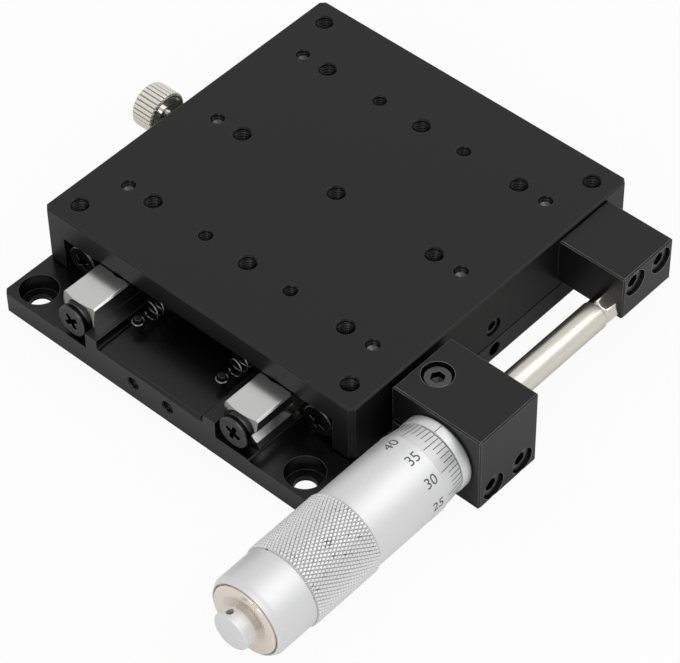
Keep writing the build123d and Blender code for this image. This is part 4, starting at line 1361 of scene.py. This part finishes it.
class STAGE_OT_scales(bpy.types.Operator):
    """Mark the scales of the thimble and the sleeve, with plain numbers"""

    bl_idname = "stage.scales"
    bl_label = "Scales"

    number_x, line_start, mark_start, mark_l = 7.15 * MM, 0.05 * MM, 0.5 * MM, 2.1 * MM
    barrel_r, barrel_ticks, barrel_step, barrel_start = 6.5 * MM, 26, 1.0 * MM, 0.4 * MM
    short_tick, long_tick, number_y, number_share = 1.6 * MM, 2.4 * MM, 3.4 * MM, 0.8

    def execute(self, context):
        sizes = context.scene.micrometer_sizes
        nose = THIMBLE_HIGH.x
        turn = -math.tau / sizes.divisions
        lay_lines(
            "thimble_lines", "thimble", sizes, count=sizes.divisions, step_angle=turn,
            first_angle=sizes.zero_angle, start=nose - self.line_start, radius=NOSE_R,
            slope=(SCALE_R - NOSE_R) / SCALE_L, short=sizes.short_line, long=sizes.long_line,
        )
        numbers = [
            (value, nose - self.number_x, sizes.zero_angle + turn * value)
            for value in range(0, sizes.divisions, 5)
        ]
        lay_numbers("thimble_numbers", "thimble", numbers, BODY_R, sizes.digit_h)
        self.mark_sleeve(sizes)
        return {"FINISHED"}

    def mark_sleeve(self, sizes):
        """The index line and the millimetre scale of the barrel, which the thimble uncovers."""
        first = THIMBLE_HIGH.x - self.barrel_start
        collar_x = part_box("micrometer_bracket")[0].x - self.mark_start
        reach = self.barrel_ticks * self.barrel_step
        ticks = {"count": self.barrel_ticks, "step_along": -self.barrel_step, "across": True}
        for name, start, radius, short, long, values in (
            ("sleeve_ticks", first, self.barrel_r, self.short_tick, self.long_tick, ticks),
            ("sleeve_index", first, self.barrel_r, reach, reach, {"count": 1}),
            ("collar_index", collar_x, COLLAR_R, self.mark_l, self.mark_l, {"count": 1}),
        ):
            lay_lines(
                name, "base", sizes, first_angle=sizes.index_angle, start=start, radius=radius,
                short=short, long=long, **values,
            )
        angle = sizes.index_angle + self.number_y / self.barrel_r
        last = self.barrel_ticks - 1
        numbers = [
            (last - value, first - value * self.barrel_step, angle)
            for value in range(0, self.barrel_ticks, 5)
        ]
        height = sizes.digit_h * self.number_share
        lay_numbers("sleeve_numbers", "base", numbers, self.barrel_r, height)


class STAGE_OT_lock_knob(bpy.types.Operator):
    """Make the ribbed knob of the lock screw"""

    bl_idname = "stage.lock_knob"
    bl_label = "Lock Knob"

    # The dish in the knob's inner face, the hollow in its outer face, and the ribbed sleeve
    dish, dish_wall, rim_wall, gap = 0.5 * MM, 1.4 * MM, 0.9 * MM, 0.05 * MM
    hollow, hollow_wall, lip, edge, core_sides = 0.25 * MM, 1.7 * MM, 0.1 * MM, 0.05 * MM, 96
    band_wall, band_slope, steps_along, steps_round, flat_top = 0.3 * MM, 0.4 * MM, 28, 6, 0.4

    def execute(self, context):
        sizes = context.scene.knob_sizes
        low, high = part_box("lock_knob")
        screw_low, screw_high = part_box("lock_screw")
        middle = (low + high) / 2
        radius = (high.z - low.z) / 2
        bore_r = (screw_high.z - screw_low.z) / 2 + self.gap
        valley = radius - sizes.rib_depth
        to_left = Matrix.Rotation(math.tau / 4, 4, "Z")
        to_left.translation = (middle.x, 0, middle.z)
        start, end = low.y, high.y
        outline = [
            (start + self.dish, bore_r), (start + self.dish, radius - self.dish_wall),
            (start, radius - self.rim_wall), (start, valley - self.lip),
            (start + self.hollow, valley + self.gap), (end - self.hollow, valley + self.gap),
            (end, valley - self.lip), (end, radius - self.dish_wall),
            (end - self.hollow, radius - self.hollow_wall), (end - self.hollow, bore_r),
        ]
        core = turned("lock_knob_core", eased(outline, self.edge), to_left, self.core_sides)
        dress("lock_knob_core", core, "nickel", "lock_knob", "nickel", "lock_knob")
        knurled_sleeve(
            "lock_knob_ribs", "ribbed_nickel", "lock_knob", "nickel",
            to_left @ Matrix.Translation((start + self.gap, 0, 0)),
            {"Radius": radius, "Inner Radius": valley - self.band_wall,
             "Length": end - start - 2 * self.gap, "Depth": sizes.rib_depth,
             "End Slope": self.band_slope, "Pitches Round": sizes.ribs,
             "Steps Round": sizes.ribs * self.steps_round, "Steps Along": self.steps_along,
             "Slant": 0.0, "Flat Top": self.flat_top},
            "lock_knob",
        )
        return {"FINISHED"}


# Springs
@node_group(
    "GeometryNodeTree", Int="Points", Material="Finish",
    Float="Length, Coil Radius, Wire, Neck, Eye Radius, Turns",
)
def extension_spring(tree, given):
    """A stretched spring along X: open coils that end in an eye round each pin."""
    length, neck, eye_r = (given[name] for name in ("Length", "Neck", "Eye Radius"))

    def straight(start, end):
        return add_node(tree, "GeometryNodeCurvePrimitiveLine", {"Start": start, "End": end})

    fine = add_node(
        tree, "GeometryNodeResampleCurve",
        {"Curve": straight((0, 0, 0), (1, 0, 0)), "Count": given["Points"]},
    )
    share = own_place(tree)["X"]
    angle = share * given["Turns"] * math.tau
    # The first and the last turn come in from the eye to the full radius.
    near = calc("PINGPONG", share, 0.5) * given["Turns"]
    radius = given["Coil Radius"] * spread(near, 0.0, 0.6, 0.15, interpolation_type="SMOOTHSTEP")
    place = vector(
        tree, neck + share * (length - neck * 2.0),
        radius * calc("SINE", angle), radius * calc("COSINE", angle),
    )
    eye = circle(tree, 28, eye_r)
    wires = tree.nodes.new("GeometryNodeJoinGeometry")
    for part in (
        set_places(fine, Position=place), eye, set_places(eye, Offset=vector(tree, length)),
        straight(vector(tree, eye_r), vector(tree, neck)),
        straight(vector(tree, length - neck), vector(tree, length - eye_r)),
    ):
        tree.links.new(part.socket, wires.inputs[0])
    spring = rod(Wire(wires.outputs[0]), 8, given["Wire"] * 0.5)
    return end_tree(spring, given, smooth=True)


class STAGE_OT_springs(bpy.types.Operator):
    """Wind the two springs that pull the table against the spindle"""

    bl_idname = "stage.springs"
    bl_label = "Springs"

    points_per_turn, eye_share = 20, 0.8

    def execute(self, context):
        sizes = context.scene.spring_sizes
        near = (sum(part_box("base_spring_pins"), Vector()) / 2).x
        far = (sum(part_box("table_spring_pins"), Vector()) / 2).x
        pin_low, pin_high = solid_boxes("base_spring_pins")[0]
        pin_r = (pin_high.x - pin_low.x) / 2
        length = far - near
        turns = round((length - 2 * sizes.neck) / sizes.pitch)
        for node in ("spring_left", "spring_right"):
            low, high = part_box(node)
            middle = (low + high) / 2
            piece = grow(
                node + "_coil", extension_spring(),
                {"Length": length, "Coil Radius": (high.z - low.z - sizes.wire) / 2,
                 "Wire": sizes.wire, "Neck": sizes.neck, "Turns": float(turns),
                 "Eye Radius": pin_r + sizes.wire * self.eye_share,
                 "Points": turns * self.points_per_turn + 1, "Finish": finish("spring_wire")},
            )
            piece.data.transform(Matrix.Translation((near, middle.y, middle.z)))
            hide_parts(node)
            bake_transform(piece)
        return {"FINISHED"}


# Studio
def floor_material():
    """A pale floor that looks white to the camera and keeps a soft shadow of the stage."""
    material = bpy.data.materials.new("floor")
    tree = clear_nodes(material)
    matt = add_node(tree, "ShaderNodeBsdfDiffuse", {"Color": (0.82, 0.82, 0.82, 1)})
    white = add_node(tree, "ShaderNodeEmission", {"Color": (1, 1, 1, 1)})
    # The rest is the shadow that the camera still sees.
    share = add_node(tree, "ShaderNodeLightPath", out="Is Camera Ray") * 0.94
    seen = add_node(tree, "ShaderNodeMixShader", {0: share, 1: matt, 2: white})
    add_node(tree, "ShaderNodeOutputMaterial", {"Surface": seen})
    return material


def studio_world(level):
    """White where the camera sees it, and a plain even light for everything else."""
    world = bpy.data.worlds.new("studio")
    tree = clear_nodes(world)
    strength = calc("MAXIMUM", add_node(tree, "ShaderNodeLightPath", out="Is Camera Ray"), level)
    light = add_node(tree, "ShaderNodeBackground", {"Color": (1, 1, 1, 1), "Strength": strength})
    add_node(tree, "ShaderNodeOutputWorld", {"Surface": light})
    return world


def soft_lamp(name, place, target, size, power):
    """A square area lamp that looks at a point."""
    lamp = bpy.data.lights.new(name, "AREA")
    lamp.shape = "SQUARE"
    lamp.size = size
    lamp.energy = power
    holder = lay_piece(name, lamp)
    holder.location = place
    holder.rotation_euler = (target - Vector(place)).to_track_quat("-Z", "Y").to_euler()


class STAGE_OT_studio(bpy.types.Operator):
    """Set up the floor, the soft light and the camera"""

    bl_idname = "stage.studio"
    bl_label = "Studio"

    floor_r = 3.0
    key_place, key_size = (0.4, -0.4, 0.85), 0.9
    side_place, side_size = (-0.75, -0.2, 0.45), 0.5

    def execute(self, context):
        settings = context.scene.studio_settings
        low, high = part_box("table_plate")
        top = Vector(((low.x + high.x) / 2, (low.y + high.y) / 2, high.z))
        mesh = bpy.data.meshes.new("floor")
        r = self.floor_r
        mesh.from_pydata([(-r, -r, 0), (r, -r, 0), (r, r, 0), (-r, r, 0)], [], [(0, 1, 2, 3)])
        lay_piece("floor", mesh, floor_material())
        context.scene.world = studio_world(settings.world)
        soft_lamp("key_lamp", self.key_place, top, self.key_size, settings.key)
        soft_lamp("side_lamp", self.side_place, top, self.side_size, settings.side)
        self.aim_camera(context, settings, top)
        context.scene.view_settings.view_transform = "Standard"
        return {"FINISHED"}

    def aim_camera(self, context, settings, top):
        """Stands the camera where the photograph was taken from."""
        azimuth, elevation = settings.azimuth, settings.elevation
        back = Vector((
            math.sin(azimuth) * math.cos(elevation),
            -math.cos(azimuth) * math.cos(elevation),
            math.sin(elevation),
        ))
        level_right = UP.cross(back).normalized()
        level_up = back.cross(level_right)
        c, s = math.cos(settings.roll), math.sin(settings.roll)
        right = level_right * c + level_up * s
        up = level_up * c - level_right * s
        place = top + back * settings.distance + right * settings.right + up * settings.up
        lens = bpy.data.cameras.new("camera")
        lens.lens = settings.lens
        camera = lay_piece("camera", lens)
        turn = Matrix((right, up, back)).transposed().to_4x4()
        camera.matrix_world = Matrix.Translation(place) @ turn
        context.scene.camera = camera


OPERATORS = (
    STAGE_OT_machined_finishes,
    STAGE_OT_socket_screws,
    STAGE_OT_cross_screws,
    STAGE_OT_sunk_screws,
    STAGE_OT_tapped_threads,
    STAGE_OT_thimble,
    STAGE_OT_turned_pieces,
    STAGE_OT_scales,
    STAGE_OT_lock_knob,
    STAGE_OT_springs,
    STAGE_OT_studio,
)


class STAGE_PT_panel(bpy.types.Panel):
    """Lists the steps that dress the stage"""

    bl_idname = "STAGE_PT_panel"
    bl_label = "Linear Stage"
    bl_space_type = "VIEW_3D"
    bl_region_type = "UI"
    bl_category = "Stage"

    def draw(self, context):
        for operator in OPERATORS:
            self.layout.operator(operator.bl_idname)
        for name, group in SETTINGS.items():
            box = self.layout.box()
            box.label(text=name.replace("_", " ").title())
            for prop in group.__annotations__:
                box.prop(getattr(context.scene, name), prop)


def register():
    for cls in (*SETTINGS.values(), *OPERATORS, STAGE_PT_panel):
        bpy.utils.register_class(cls)
    for name, group in SETTINGS.items():
        setattr(bpy.types.Scene, name, PointerProperty(type=group))


def unregister():
    for name in SETTINGS:
        delattr(bpy.types.Scene, name)
    for cls in reversed((*SETTINGS.values(), *OPERATORS, STAGE_PT_panel)):
        bpy.utils.unregister_class(cls)


def main():
    """Dresses the whole stage."""
    register()
    for operator in OPERATORS:
        step = operator.bl_idname.split(".")[1]
        getattr(bpy.ops.stage, step)()


if __name__ == "__main__":
    main()
